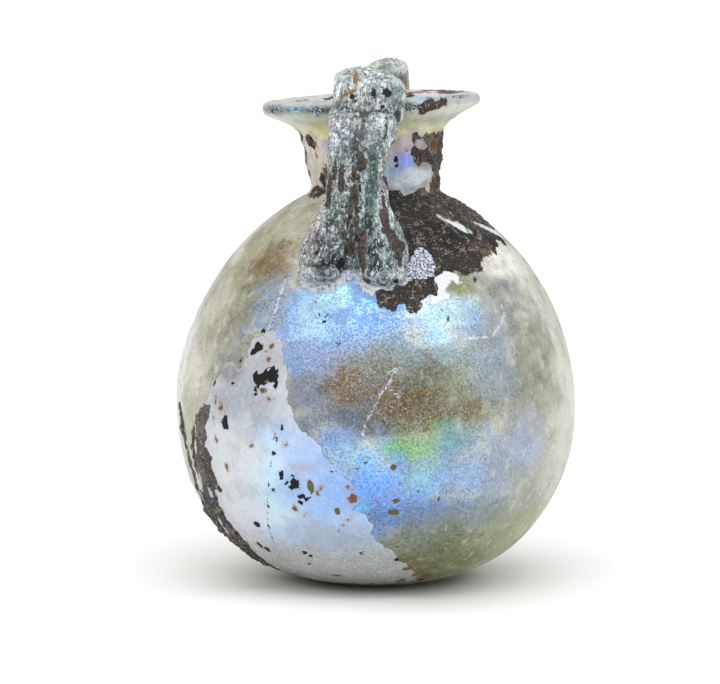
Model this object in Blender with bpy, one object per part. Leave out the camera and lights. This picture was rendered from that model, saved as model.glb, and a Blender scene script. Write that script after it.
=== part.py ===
"""Glass aryballos: a small blown oil flask with a globular body, a short neck, a flared rim with a
rolled lip, and two strap handles that were drawn up hot from the shoulder and folded over the rim.

The vessel is one hollow blown solid. Each handle was its own gather of glass, so it is its own solid.
Lengths below are in millimetres and become metres where a mesh is made. The origin is the centre of
the foot's underside, +Z is up, and the handles stand on -Y (front) and +Y (rear).
"""

import math

import bmesh
import bpy
import numpy as np

MM = 0.001

# Body: two superellipse quarters that meet at the widest point
BODY_RADIUS = 33.0
WIDEST_HEIGHT = 30.5
SHOULDER_RISE = 36.7
SHOULDER_POWER = 1.81
BELLY_DROP = 31.1
BELLY_POWER = 2.35

# Foot: flattened underside with the shallow dimple of the pontil
DIMPLE_RADIUS = 4.6
DIMPLE_DEPTH = 0.7

# Neck and mouth
NECK_FOOT_RADIUS = 10.4
NECK_FOOT_HEIGHT = 65.1
NECK_TOP_RADIUS = 11.65
NECK_TOP_HEIGHT = 73.4
SHOULDER_END_RADIUS = 11.2
LIP_RADIUS = 1.25
RIM_RADIUS = 18.05
RIM_HEIGHT = 80.4
BORE_FOOT_RADIUS = 8.0
BORE_TOP_RADIUS = 8.9
BORE_TOP_HEIGHT = 75.0

# Walls
BODY_WALL = 1.9
SHOULDER_WALL = 1.8
BASE_WALL = 2.6

# Irregularities of hand work: the neck leans to -X, and the rim runs uphill towards +X
NECK_LEAN = 0.7
RIM_SLOPE = math.tan(math.radians(2.8))

# Handles: two ribs with a web between them, ending in two toes on the shoulder
HANDLE_GAP = 0.3
RIB_SIDES = 12
RIB_RINGS = 15
FOLD_SIDES = 16
FOLD_RINGS = 11
WEB_SIDES = 8
WEB_RINGS = 9
CAP_RINGS = 3
SECTION_POWER = 2.4

SPIN_STEPS = 56


def eased(values, start, end):
    """0 before start, 1 after end, and a smooth step between them."""
    share = np.clip((values - start) / (end - start), 0.0, 1.0)
    return share * share * (3.0 - 2.0 * share)


def quarter(radius, height, power, start, end, count):
    """Points (radius, height) of a superellipse quarter between two angles from its equator."""
    angles = np.linspace(start, end, count)
    across = radius * np.clip(np.cos(angles), 0.0, 1.0) ** (2.0 / power)
    along = height * np.sin(angles) ** (2.0 / power)
    return np.column_stack([across, along])


def bezier(p0, p1, p2, p3, count):
    """Points of a cubic Bezier curve, its ends included."""
    t = np.linspace(0.0, 1.0, count)[:, None]
    s = 1.0 - t
    p0, p1, p2, p3 = (np.array(p, float) for p in (p0, p1, p2, p3))
    return s**3 * p0 + 3 * s * s * t * p1 + 3 * s * t * t * p2 + t**3 * p3


def smooth_line(stations, count):
    """A Catmull-Rom curve through rows of values, read at evenly spaced parameters."""
    rows = np.array(stations, float)
    padded = np.vstack([2 * rows[0] - rows[1], rows, 2 * rows[-1] - rows[-2]])
    place = np.linspace(0.0, len(rows) - 1.0, count)
    index = np.minimum(place.astype(int), len(rows) - 2)
    t = (place - index)[:, None]
    a, b, c, d = (padded[index + k] for k in range(4))
    return 0.5 * (2 * b + (c - a) * t + (2 * a - 5 * b + 4 * c - d) * t**2 + (3 * b - a - 3 * c + d) * t**3)


def outer_profile():
    """The outside from the middle of the underside up to the start of the rolled lip."""
    out = np.linspace(0.0, 1.0, 4)
    dimple = np.column_stack([DIMPLE_RADIUS * out, DIMPLE_DEPTH * np.cos(out * math.pi / 2)])
    dimple[-1, 1] = 0.0
    flat_angle = math.asin((WIDEST_HEIGHT / BELLY_DROP) ** (BELLY_POWER / 2))
    belly = quarter(BODY_RADIUS, -BELLY_DROP, BELLY_POWER, flat_angle, 0.0, 9)
    neck_angle = math.acos((SHOULDER_END_RADIUS / BODY_RADIUS) ** (SHOULDER_POWER / 2))
    shoulder = quarter(BODY_RADIUS, SHOULDER_RISE, SHOULDER_POWER, 0.0, neck_angle, 11)[1:]
    body = np.vstack([belly, shoulder]) + [0.0, WIDEST_HEIGHT]
    body[0, 1] = 0.0
    neck_foot = [[NECK_FOOT_RADIUS + 0.15, NECK_FOOT_HEIGHT - 0.5]]
    neck = np.linspace([NECK_FOOT_RADIUS, NECK_FOOT_HEIGHT], [NECK_TOP_RADIUS, NECK_TOP_HEIGHT], 4)
    lip_foot = [RIM_RADIUS - LIP_RADIUS * 0.76, RIM_HEIGHT - 2 * LIP_RADIUS]
    flare = bezier(neck[-1], [11.9, 75.6], [13.6, 76.3], lip_foot, 6)[1:]
    return np.vstack([dimple, body, neck_foot, neck, flare])


def lip_profile():
    """The rolled lip: a round bead from its underside over the edge to its top."""
    angles = np.radians(np.linspace(-50.0, 90.0, 5))
    centre = np.array([RIM_RADIUS - LIP_RADIUS, RIM_HEIGHT - LIP_RADIUS])
    return centre + LIP_RADIUS * np.column_stack([np.cos(angles), np.sin(angles)])


def funnel_profile():
    """The dished top of the rim, from the lip inwards and down to the bore."""
    lip_top = [RIM_RADIUS - LIP_RADIUS, RIM_HEIGHT]
    return bezier(lip_top, [13.0, 79.5], [9.2, 79.3], [BORE_TOP_RADIUS, BORE_TOP_HEIGHT], 6)[1:]


def hollow_profile():
    """The inside from the foot of the bore to the middle of the floor."""
    inner_radius = BODY_RADIUS - BODY_WALL
    inner_rise = SHOULDER_RISE - SHOULDER_WALL
    bore_angle = math.acos(((BORE_FOOT_RADIUS + 0.3) / inner_radius) ** (SHOULDER_POWER / 2))
    shoulder = quarter(inner_radius, inner_rise, SHOULDER_POWER, bore_angle, 0.0, 9)
    bore_foot = [[BORE_FOOT_RADIUS, NECK_FOOT_HEIGHT]]
    floor_drop = BASE_WALL - WIDEST_HEIGHT
    belly = quarter(inner_radius, floor_drop, BELLY_POWER, 0.0, math.pi / 2, 9)[1:]
    belly[-1, 0] = 0.0
    body = np.vstack([shoulder, belly]) + [0.0, WIDEST_HEIGHT]
    return np.vstack([bore_foot, body])


def offset_profile(profile, distance):
    """The profile pushed outwards along its normals, its two ends kept on the axis."""
    tangent = np.gradient(profile, axis=0)
    normal = np.column_stack([tangent[:, 1], -tangent[:, 0]])
    normal /= np.linalg.norm(normal, axis=1)[:, None]
    moved = profile + distance * normal
    moved[[0, -1], 0] = 0.0
    return moved


def hand_worked(point):
    """The lean of the neck and the slope of the rim, for a point in millimetres."""
    x, y, z = point
    lean = NECK_LEAN * eased(z, 60.0, RIM_HEIGHT)
    slope = RIM_SLOPE * eased(z, NECK_TOP_HEIGHT - 1.0, RIM_HEIGHT - 2 * LIP_RADIUS)
    return x - lean, y, z + slope * x


def linked(name, bm, parent):
    """A new object holding bm in metres, linked to the scene."""
    for vertex in bm.verts:
        vertex.co *= MM
    mesh = bpy.data.meshes.new(name)
    bm.to_mesh(mesh)
    bm.free()
    obj = bpy.data.objects.new(name, mesh)
    bpy.context.scene.collection.objects.link(obj)
    obj.parent = parent
    return obj


def turned(name, profile, parent):
    """The profile spun about Z into one closed skin, then made irregular as by hand."""
    bm = bmesh.new()
    points = [bm.verts.new((radius, 0.0, height)) for radius, height in profile]
    edges = [bm.edges.new(pair) for pair in zip(points, points[1:])]
    bmesh.ops.spin(
        bm,
        geom=points + edges,
        cent=(0.0, 0.0, 0.0),
        axis=(0.0, 0.0, 1.0),
        angle=2.0 * math.pi,
        steps=SPIN_STEPS,
    )
    bmesh.ops.remove_doubles(bm, verts=bm.verts, dist=1e-4)
    bmesh.ops.recalc_face_normals(bm, faces=bm.faces)
    for vertex in bm.verts:
        vertex.co = hand_worked(vertex.co)
    return linked(name, bm, parent)


def swept(name, stations, sides, rings, round_ends, parent, slant=0.0):
    """A superellipse section carried along a path that lies upright in a handle's middle plane.

    A station is (out, height, across, half width, half thickness): out is the distance from the
    vessel's axis and across the shift sideways. A round end shrinks over its own thickness. What
    stands above the rim drops by slant for each unit sideways.
    """
    line = smooth_line(stations, rings)
    path = line[:, :2]
    tangent = np.gradient(path, axis=0)
    tangent /= np.linalg.norm(tangent, axis=1)[:, None]
    caps = [np.sin(np.linspace(0.25, 1.0, CAP_RINGS + 1)[:-1] * math.pi / 2)]
    sections = [(path[i], tangent[i], *line[i, 2:], 1.0) for i in range(rings)]
    for end in round_ends:
        at, direction = (0, -1.0) if end == "start" else (rings - 1, 1.0)
        reach = line[at, 4] * np.sqrt(1.0 - caps[0] ** 2) * direction
        extra = [
            (path[at] + tangent[at] * step, tangent[at], *line[at, 2:], shrink)
            for step, shrink in zip(reach, caps[0])
        ]
        sections = extra + sections if end == "start" else sections + extra[::-1]
    angles = np.linspace(0.0, 2.0 * math.pi, sides, endpoint=False)
    power = 2.0 / SECTION_POWER
    ring_u = np.sign(np.cos(angles)) * np.abs(np.cos(angles)) ** power
    ring_n = np.sign(np.sin(angles)) * np.abs(np.sin(angles)) ** power
    bm = bmesh.new()
    loops = []
    for (out, height), (t_out, t_height), across, half_width, half_thick, scale in sections:
        lateral = across + ring_u * half_width * scale
        normal = ring_n * half_thick * scale
        outward = out + normal * t_height
        upward = height - normal * t_out
        loops.append([bm.verts.new(p) for p in zip(lateral, -outward, upward)])
    for low, high in zip(loops, loops[1:]):
        for k in range(sides):
            bm.faces.new((low[k], low[k - 1], high[k - 1], high[k]))
    for loop in (loops[0], loops[-1]):
        bm.faces.new(loop)
    for vertex in bm.verts:
        vertex.co.z -= slant * vertex.co.x * eased(vertex.co.z, RIM_HEIGHT - 1.0, RIM_HEIGHT + 3.0)
    bmesh.ops.recalc_face_normals(bm, faces=bm.faces)
    return linked(name, bm, parent)


def helper(obj):
    """Marks a shape that only cuts or joins others, so that it is no piece itself."""
    obj.hide_render = True
    obj.display_type = "WIRE"
    return obj


def boolean(obj, operation, other):
    """Adds one exact Boolean to obj, which also clears where a tight bend folds over itself."""
    modifier = obj.modifiers.new(f"{operation.lower()}_{other.name}", "BOOLEAN")
    modifier.operation = operation
    modifier.object = other
    modifier.solver = "EXACT"
    modifier.use_self = True


def rib_stations(side, toe_across, toe_half_width, toe_reach, crest_across):
    """One rib of a strap from its toe on the shoulder up to the crest under the rim."""
    return [
        (25.0 - 0.4 * toe_reach, 55.4 - toe_reach, toe_across, toe_half_width * 0.93, 3.1),
        (24.4, 57.2, toe_across * 0.97, toe_half_width, 3.3),
        (23.6, 60.6, side * 4.0, 3.2, 2.9),
        (22.8, 64.2, side * 2.85, 2.55, 2.5),
        (22.2, 68.2, side * 2.35, 2.4, 2.2),
        (21.6, 72.6, side * 2.35, 2.4, 2.1),
        (20.7, 76.0, crest_across * 0.9, 2.6, 2.1),
        (18.8, 77.9, crest_across, 2.8, 2.0),
        (16.6, 78.0, crest_across, 2.8, 1.8),
    ]


def web_stations():
    """The thinner glass between the two ribs."""
    return [
        (22.4, 55.6, -0.8, 2.6, 2.8),
        (23.0, 59.6, -0.5, 3.0, 2.7),
        (22.7, 64.0, 0.0, 2.5, 2.2),
        (22.1, 68.2, 0.0, 2.4, 1.8),
        (21.5, 72.6, 0.0, 2.4, 1.7),
        (20.5, 76.0, 0.0, 2.4, 1.8),
        (18.7, 77.8, 0.0, 2.4, 1.9),
        (16.6, 78.0, 0.0, 2.4, 1.7),
    ]


def fold_stations(shift, half_width, top):
    """The end of the trail: pressed on the neck, drawn round the rim's edge and doubled above it."""
    return [
        (12.4, 73.2, shift * 0.5, 3.2, 1.8),
        (15.6, 75.4, shift * 0.8, 4.4, 2.1),
        (18.2, 78.0, shift, half_width - 0.4, 2.5),
        (18.3, 80.8, shift, half_width, 2.9),
        (17.9, top - 2.6, shift, half_width, 2.9),
    ]


def glass_material(name, colour, roughness, transmission):
    """A Principled glass with the colour, roughness and share of light let through given."""
    material = bpy.data.materials.new(name)
    material.use_nodes = True
    shader = material.node_tree.nodes["Principled BSDF"]
    shader.inputs["Base Color"].default_value = (*colour, 1.0)
    shader.inputs["Metallic"].default_value = 0.0
    shader.inputs["Roughness"].default_value = roughness
    shader.inputs["Transmission Weight"].default_value = transmission
    shader.inputs["IOR"].default_value = 1.5
    material.diffuse_color = (*colour, 1.0)
    return material


def finished(obj, material):
    """Gives a visible piece its glass and smooth shading with sharp creases."""
    obj.data.materials.append(material)
    obj.data.shade_smooth()
    obj.data.set_sharp_from_angle(angle=math.radians(50.0))


def handle(name, turn, left_toe, right_toe, fold, slant, gap_cutter, parent):
    """One handle: fold, two ribs and web joined, then cut back from the vessel by the gap."""
    obj = swept(name, fold_stations(*fold), FOLD_SIDES, FOLD_RINGS, ["start", "end"], parent, slant)
    obj.rotation_euler.z = turn
    parts = [
        swept(f"{name}_left_rib", rib_stations(-1, *left_toe), RIB_SIDES, RIB_RINGS, ["start"], obj),
        swept(f"{name}_right_rib", rib_stations(1, *right_toe), RIB_SIDES, RIB_RINGS, ["start"], obj),
        swept(f"{name}_web", web_stations(), WEB_SIDES, WEB_RINGS, ["start"], obj),
    ]
    for part in parts:
        boolean(obj, "UNION", helper(part))
    boolean(obj, "DIFFERENCE", gap_cutter)
    return obj


def main():
    for obj in list(bpy.data.objects):
        bpy.data.objects.remove(obj)
    aryballos = bpy.data.objects.new("aryballos", None)
    bpy.context.scene.collection.objects.link(aryballos)

    outside = np.vstack([outer_profile(), lip_profile(), funnel_profile()])
    vessel = turned("vessel", np.vstack([outside, hollow_profile()]), aryballos)
    finished(vessel, glass_material("blown_glass", (0.42, 0.44, 0.36), 0.35, 0.3))

    plugged = np.vstack([outside, [[0.0, BORE_TOP_HEIGHT]]])
    gap_cutter = helper(turned("handle_gap", offset_profile(plugged, HANDLE_GAP), aryballos))
    trail_glass = glass_material("trail_glass", (0.22, 0.29, 0.28), 0.4, 0.2)
    front = handle(
        "handle_front",
        0.0,
        (-5.2, 3.85, 0.7, -2.2),
        (4.5, 4.25, 1.3, 3.4),
        (1.55, 5.8, 85.7),
        0.14,
        gap_cutter,
        aryballos,
    )
    finished(front, trail_glass)
    rear = handle(
        "handle_rear",
        math.pi,
        (-4.7, 4.0, 1.1, -2.1),
        (5.0, 3.9, 0.8, 2.3),
        (1.25, 4.25, 85.9),
        0.2,
        gap_cutter,
        aryballos,
    )
    finished(rear, trail_glass)


main()
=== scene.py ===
"""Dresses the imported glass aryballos: a blown, weathered vessel and two trailed strap handles.

The vessel is one turned skin with a fine relief of weathering layers. Each handle is a set of swept
tubes fused into one skin. Where the layers lie is worked out once for each vertex, from outlines and
patches, and kept in attributes that the materials read. A place on the vessel is (azimuth in degrees,
height in millimetres): azimuth 0 faces the front handle on -Y, and 90 faces +X. Past the lip the
height goes on rising by the distance travelled into the mouth, and under the foot it goes on falling
by the distance travelled inwards, so each place on the skin has its own pair.
"""

import math

import bpy
import numpy as np
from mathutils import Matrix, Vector


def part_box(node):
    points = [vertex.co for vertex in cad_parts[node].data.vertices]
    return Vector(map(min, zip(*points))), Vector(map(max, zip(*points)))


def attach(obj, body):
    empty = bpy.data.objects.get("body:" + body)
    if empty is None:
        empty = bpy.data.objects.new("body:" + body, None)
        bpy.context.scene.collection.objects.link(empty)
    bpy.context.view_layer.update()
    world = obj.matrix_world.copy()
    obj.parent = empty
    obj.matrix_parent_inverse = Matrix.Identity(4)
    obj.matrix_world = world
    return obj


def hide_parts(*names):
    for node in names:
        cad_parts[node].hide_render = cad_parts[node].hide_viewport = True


bl_info = {
    "name": "Weathered glass aryballos",
    "version": (1, 0, 0),
    "blender": (4, 5, 0),
    "location": "3D View > Sidebar > Aryballos",
    "description": "Builds the looks of a small ancient glass oil flask around its packed frame",
    "category": "Add Mesh",
}

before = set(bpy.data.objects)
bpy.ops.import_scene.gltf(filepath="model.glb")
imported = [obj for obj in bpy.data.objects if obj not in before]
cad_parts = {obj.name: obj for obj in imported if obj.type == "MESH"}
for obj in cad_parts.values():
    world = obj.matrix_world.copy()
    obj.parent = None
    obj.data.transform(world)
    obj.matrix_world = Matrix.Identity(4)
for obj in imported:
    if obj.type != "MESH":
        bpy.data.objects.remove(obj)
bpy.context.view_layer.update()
VESSEL_LOW, VESSEL_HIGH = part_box("vessel")
MM = 0.001
BODY_RADIUS = (VESSEL_HIGH.x - VESSEL_LOW.x) / 2 / MM

# Profile of the vessel in millimetres, as in the frame
WIDEST_HEIGHT = 30.5
SHOULDER_RISE = 36.7
SHOULDER_POWER = 1.81
BELLY_DROP = 31.1
BELLY_POWER = 2.35
DIMPLE_RADIUS = 4.6
DIMPLE_DEPTH = 0.7
FOOT_RADIUS = 8.5
NECK_FOOT_RADIUS = 10.4
NECK_FOOT_HEIGHT = 65.1
NECK_TOP_RADIUS = 11.65
NECK_TOP_HEIGHT = 73.4
LIP_RADIUS = 1.25
RIM_RADIUS = 18.05
RIM_HEIGHT = 80.4
BORE_FOOT_RADIUS = 8.0
BORE_TOP_RADIUS = 8.9
BORE_TOP_HEIGHT = 75.0
BODY_WALL = 1.9
SHOULDER_WALL = 1.8
BASE_WALL = 2.6
NECK_LEAN = 0.7
RIM_SLOPE = math.tan(math.radians(2.8))

# Control points (radius, height) of the curves of the flare's outside and of the mouth's funnel
FLARE_BENDS = [11.9, 75.6], [13.6, 76.3]
FUNNEL_BENDS = [13.0, 79.5], [9.2, 79.3]

# Heights between which the neck's own weathering sets in, the clear glass of the flare starts and
# ends, and the sandy marks of the foot run out
NECK_ONSET = 64.0, 66.5
CLEAR_ONSET = 74.5, 76.0
CLEAR_END = 79.6, 80.6
SANDY_END = 6.0, 13.0

# The vessel's grid: millimetres between its rows, and in the closed-off hollow, its columns, and how
# far they crowd together towards the front
ROW_SPACING = 0.5
HOLLOW_SPACING = 3.0
COLUMNS = 320
FRONT_CROWDING = 0.35

# Soft patches of colour in the film, some of them painted reflections, highlights and shade as noted:
# azimuth, height, half width, half height, colour, strength
FILM_AND_PAINTED_LIGHT = [
    # The clearer olive glass of the left shoulder, paler round the side, where the paleness is a painted
    # reflection of the white surroundings
    (-60, 42, 18, 22, "#b3b2a0", 0.9), (-86, 40, 9, 22, "#deded6", 0.9),
    (-48, 54, 9, 7, "#9a9779", 0.8), (-36, 53.5, 3.6, 2.8, "#866832", 0.9),
    (-37, 47.5, 4.5, 5.5, "#7c7c6a", 0.8), (-39, 39, 4, 4, "#8f9090", 0.8),
    (-60, 36, 5, 5, "#d6d3c8", 0.9), (-76, 34, 6, 9, "#f2f0ea", 0.9),
    (-47, 44.5, 4, 3.4, "#8e8c6c", 0.6), (-56, 47, 5, 4, "#c6c4b4", 0.7),
    # The pearly blue below the front handle, partly the film's own blue and partly a painted reflection of
    # the light above; its brightest cyan and near-white spots are painted highlights
    (-6, 47.0, 12, 6.5, "#82aade", 1.0), (-18, 44.6, 4, 4.4, "#8bade2", 0.9),
    (-11, 46.4, 3.6, 4.4, "#a6cdec", 0.9), (7, 47.6, 6, 4, "#76a4de", 1.0),
    (-27, 49, 2.4, 4.6, "#8c94a6", 0.9), (-6.5, 49.6, 2.6, 1.8, "#a8daf0", 0.8),
    (3, 42.4, 5, 3, "#7d98ba", 0.9), (13, 43.4, 4.4, 3, "#7c93aa", 1.0),
    (11, 46.6, 3.4, 1.8, "#6c92d2", 0.9), (26, 46.4, 4.6, 3.2, "#b6daf6", 0.9),
    (25, 49.2, 2.6, 1.8, "#d8f2fa", 1.0), (27, 43.6, 3, 1.4, "#a9d4ee", 0.8),
    (37, 48.5, 5, 4.4, "#b0cedb", 0.9), (45, 42, 6, 6, "#86a6cc", 0.8),
    (40, 51.4, 5, 1.8, "#7e8458", 1.0), (51, 51, 4, 1.6, "#8b8b74", 0.9),
    (61, 46, 8, 9, "#a4a6a2", 0.8), (62, 51, 5, 3.4, "#a09da8", 0.8), (57, 35, 9, 8, "#99998c", 0.9),
    # The palest patches near the right edge, at azimuths 82 and 88, are a painted reflection of the white
    # surroundings
    (72, 43, 5, 12, "#989988", 0.8), (70, 54.2, 7, 2.4, "#f0efe6", 1.0), (82, 51, 5, 4, "#e2e0d4", 0.9),
    (88, 34, 9, 24, "#d8d7cc", 0.9),
    # The duller brown-gold band round the middle, with the green patch at its foot: partly the film's own
    # brown-gold, partly a painted dark reflection of the surroundings level with the flask
    (10, 35, 13, 4.4, "#7d776a", 0.8), (-14, 40, 5, 3, "#829fcc", 0.9),
    (-5, 39.6, 5, 3, "#8699c2", 0.9), (-9, 35.4, 6, 6, "#8c98b2", 0.9),
    (0.5, 36.4, 5.4, 3.6, "#857a6a", 0.9), (7, 36.8, 4, 3, "#7a7a72", 0.8),
    (8, 34.2, 5.4, 3.0, "#7c776e", 0.9), (11, 40, 5, 2.4, "#777b74", 0.9),
    (19, 40, 4, 2.4, "#78868c", 0.8), (28, 39.8, 5, 2.6, "#7c929c", 0.8),
    (2, 30.6, 5, 2.4, "#5f6c80", 1.0), (17, 34.2, 7, 4.6, "#726d5e", 0.9),
    (24, 36, 5, 3, "#6c6c58", 0.9), (34, 34, 5, 5, "#8d937f", 0.9), (46, 37, 5, 4, "#8c9aa2", 0.7),
    (12, 29.8, 4.2, 2.2, "#5f5d4c", 1.0), (10.6, 26.6, 2.0, 1.6, "#84acb4", 0.9),
    (24, 29.8, 4, 2.4, "#6a8660", 0.8), (15.4, 26.0, 3, 2.0, "#74b266", 1.0),
    (21, 26.4, 4.4, 2.8, "#8ab482", 0.9), (30, 27.2, 3.6, 3.2, "#7098a2", 0.9),
    # The lower blue, partly the film's own colour and partly a painted reflection of the white floor, which
    # greys to the right and turns olive near the foot
    (-2, 27.2, 5, 2.4, "#84a2d6", 1.0), (-13.4, 29.4, 2.4, 2.0, "#76869e", 1.0),
    (3, 24, 6, 3, "#a0d0ea", 0.9), (6, 19.5, 8, 5, "#7aabf6", 1.0), (16, 18, 6, 4, "#78a4f0", 0.9),
    (11, 15.0, 6, 2.4, "#6688c4", 0.9), (22, 21.6, 5, 3, "#8cbccf", 0.9),
    (34, 21, 6, 4, "#8aaad4", 0.9), (44, 21.6, 6, 6, "#94a8c6", 0.8), (53, 25, 6, 5, "#9ca9c6", 0.8),
    (60, 18, 7, 6, "#9aa29e", 0.8), (76, 24, 6, 8, "#c6c8be", 0.8), (28, 14.8, 9, 3, "#6986b2", 0.9),
    (42, 13.5, 8, 3.4, "#7c8680", 0.9), (4, 12.6, 5, 2.4, "#6e8cc0", 0.9),
    (2.8, 16.8, 1.6, 0.9, "#72c2f0", 0.7), (22, 10.2, 7, 3.4, "#6e796a", 0.9),
    (40, 7.4, 13, 4.4, "#666e44", 1.0), (24, 4.4, 12, 2.4, "#66662f", 1.0),
    # The darkest ring at the very foot, at height 0.4, is partly olive glass and partly painted shade where
    # the flask meets the floor
    (66, 10, 9, 5.5, "#989c78", 0.9), (0, 0.4, 400, 1.6, "#544812", 1.0),
    (0, -4.6, 400, 4.2, "#827b5c", 0.9), (60, -3, 60, 1.6, "#a3a58c", 0.8),
    (-120, -4, 50, 1.4, "#5f573c", 0.8),
    # The sides and the rear, in keeping
    (125, 44, 18, 12, "#aeb6aa", 0.8), (140, 28, 16, 9, "#859fc6", 0.8),
    (165, 40, 12, 9, "#938b70", 0.8), (-165, 24, 14, 9, "#88b0d8", 0.8),
    (-140, 44, 15, 8, "#9cc4e0", 0.8), (-157, 27, 6, 3.4, "#a4abcd", 0.8),
    (-172, 20, 6, 3, "#9ccfc2", 0.7), (-133, 47, 7, 4, "#b4b7d2", 0.8),
    (-146, 40, 6, 3, "#a2d0d0", 0.8), (-126, 42, 5, 3, "#b9beb0", 0.8),
    (-125, 28, 13, 10, "#a2a28a", 0.8), (-105, 46, 11, 12, "#c4c3b2", 0.7),
    (150, 12, 16, 8, "#8f9678", 0.8), (-120, 9, 18, 7, "#a9ab98", 0.7),
    (100, 18, 10, 10, "#b4b7ac", 0.7), (176, 50, 9, 6, "#8fb6dc", 0.7), (112, 56, 9, 5, "#a39f88", 0.7),
    # Neck, flare, lip and mouth, whose bands run all the way round
    (0, 69.5, 400, 4.5, "#c2bab4", 1.0), (-48, 70, 7, 5, "#e0d6c8", 0.9),
    (-29, 72.6, 1.6, 1.6, "#b5a6cc", 0.9), (31, 72.8, 2.6, 2.0, "#cdb8c4", 0.9),
    (36, 69.6, 1.8, 2.0, "#9aa7ee", 1.0), (29, 67.6, 2.6, 1.6, "#b4cdf4", 0.9),
    (40, 66.8, 3.2, 1.2, "#c3cfd8", 1.0), (36, 65.6, 2.6, 0.8, "#aab4ba", 0.9),
    (51, 68.2, 2.4, 0.9, "#c8cfd4", 1.0), (55, 69.5, 2.4, 0.5, "#8b9694", 1.0),
    (61, 66, 0.7, 1.2, "#bcc2c8", 1.0), (25, 70.4, 1.2, 2.4, "#8f9cc4", 0.8),
    # The pale yellow band under the rim is partly the clearer yellowish glass, partly a painted glow of
    # light passing through the flare
    (52, 72.8, 1.8, 1.2, "#a09a9e", 1.0), (0, 76.0, 400, 1.4, "#e6e5ae", 1.0),
    (68, 76.8, 8, 1.4, "#dde2d2", 0.9), (-64, 76.6, 5, 1.2, "#ecede0", 0.8),
    (0, 78.0, 400, 0.9, "#eef1e2", 0.9), (0, 79.7, 400, 0.8, "#c6d3d2", 0.9),
    (-56, 79.2, 6, 0.7, "#66757c", 1.0), (-44, 79.4, 3, 0.6, "#8b989c", 0.9),
    # The dark greens on the lip's front, at azimuths -27, -15, 25 and 56, are painted shade of the fold's
    # hollow seen through the glass
    (-34, 79.3, 2.4, 0.8, "#9fc6e2", 0.9), (-27, 79.1, 2.0, 0.8, "#3c5c48", 1.0),
    (-22.6, 79.2, 1.0, 0.8, "#6fb4e6", 0.9), (-15, 79.0, 3.0, 1.0, "#2f4a34", 1.0),
    (25, 79.1, 2.4, 1.0, "#3c5c42", 1.0), (40, 80.2, 3, 0.4, "#78b0dc", 0.9),
    (56, 80.3, 4, 0.45, "#33575a", 0.9), (72, 80.2, 3, 0.5, "#5b8288", 0.8),
    (0, 82.5, 400, 2.2, "#cfcccf", 0.9), (-118, 82.6, 3, 1.4, "#d8c4c4", 0.8),
    (-140, 82, 4, 1.2, "#b7cac6", 0.8), (150, 81.8, 4, 1, "#ddd2dc", 0.9),
    (0, 88.0, 400, 4.0, "#aab5ae", 0.9),
]

# Where the film is thick enough to shine like metal, and where gold-brown specks show through it
SHEEN = [(8, 33, 30, 27), (-8, 12, 24, 12), (142, 32, 26, 20), (-160, 26, 22, 18), (-140, 44, 16, 10)]
GILDING = [
    (0.5, 36.2, 5, 3), (12, 35, 5, 3), (18, 33.5, 7, 4), (34, 33, 4, 3), (-37, 53.5, 5, 4),
    (165, 40, 13, 9), (112, 50, 8, 7),
]

# Where the lip is flecked with black and white
LIP_FLECKS = [
    (-57, 79.2, 5, 0.9), (-38, 79.2, 3, 0.8), (-22, 79.0, 3.4, 0.9), (28, 79.0, 3, 0.9),
    (64, 80.2, 5, 0.5), (150, 79.6, 5, 0.8), (-140, 79.4, 5, 0.8),
]

# Outlines of the chalky layer: low in front and to the left with crisp edges, and on the rear
CHALK = [
    [
        (-25, 44.3), (-21, 42.1), (-18, 37.5), (-17, 32.9), (-13, 29), (-9, 27.5), (-5, 24.4), (-1, 22),
        (1, 20.6), (3.4, 17.8), (1.6, 16.4), (4.6, 15.4), (7, 13.6), (7.4, 11), (13, 8.8), (20, 6.2),
        (27, 4.2), (30, 2.4), (10, 1.5), (-20, 1.4), (-55, 1.6), (-75, 3), (-70, 12), (-58, 22),
        (-52, 30), (-47.5, 33.2), (-45.5, 35.2), (-43, 37.6), (-40.5, 38.6), (-37, 38.4), (-34.4, 37.6),
        (-33.6, 40), (-32, 42.4), (-28, 43.4), (-26, 44.5),
    ],
    [
        (-98, 50), (-88, 49), (-84, 42), (-78, 37), (-70, 34), (-66, 28), (-70, 20), (-84, 14), (-100, 20),
        (-106, 36),
    ],
    [
        (150, 52), (168, 50), (176, 42), (172, 33), (180, 24), (170, 12), (150, 6), (132, 10), (136, 22),
        (128, 33), (138, 44),
    ],
]
# How far, in millimetres, each of those outlines is frayed
CHALK_FRAY = [0.22, 0.7, 0.7]
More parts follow.
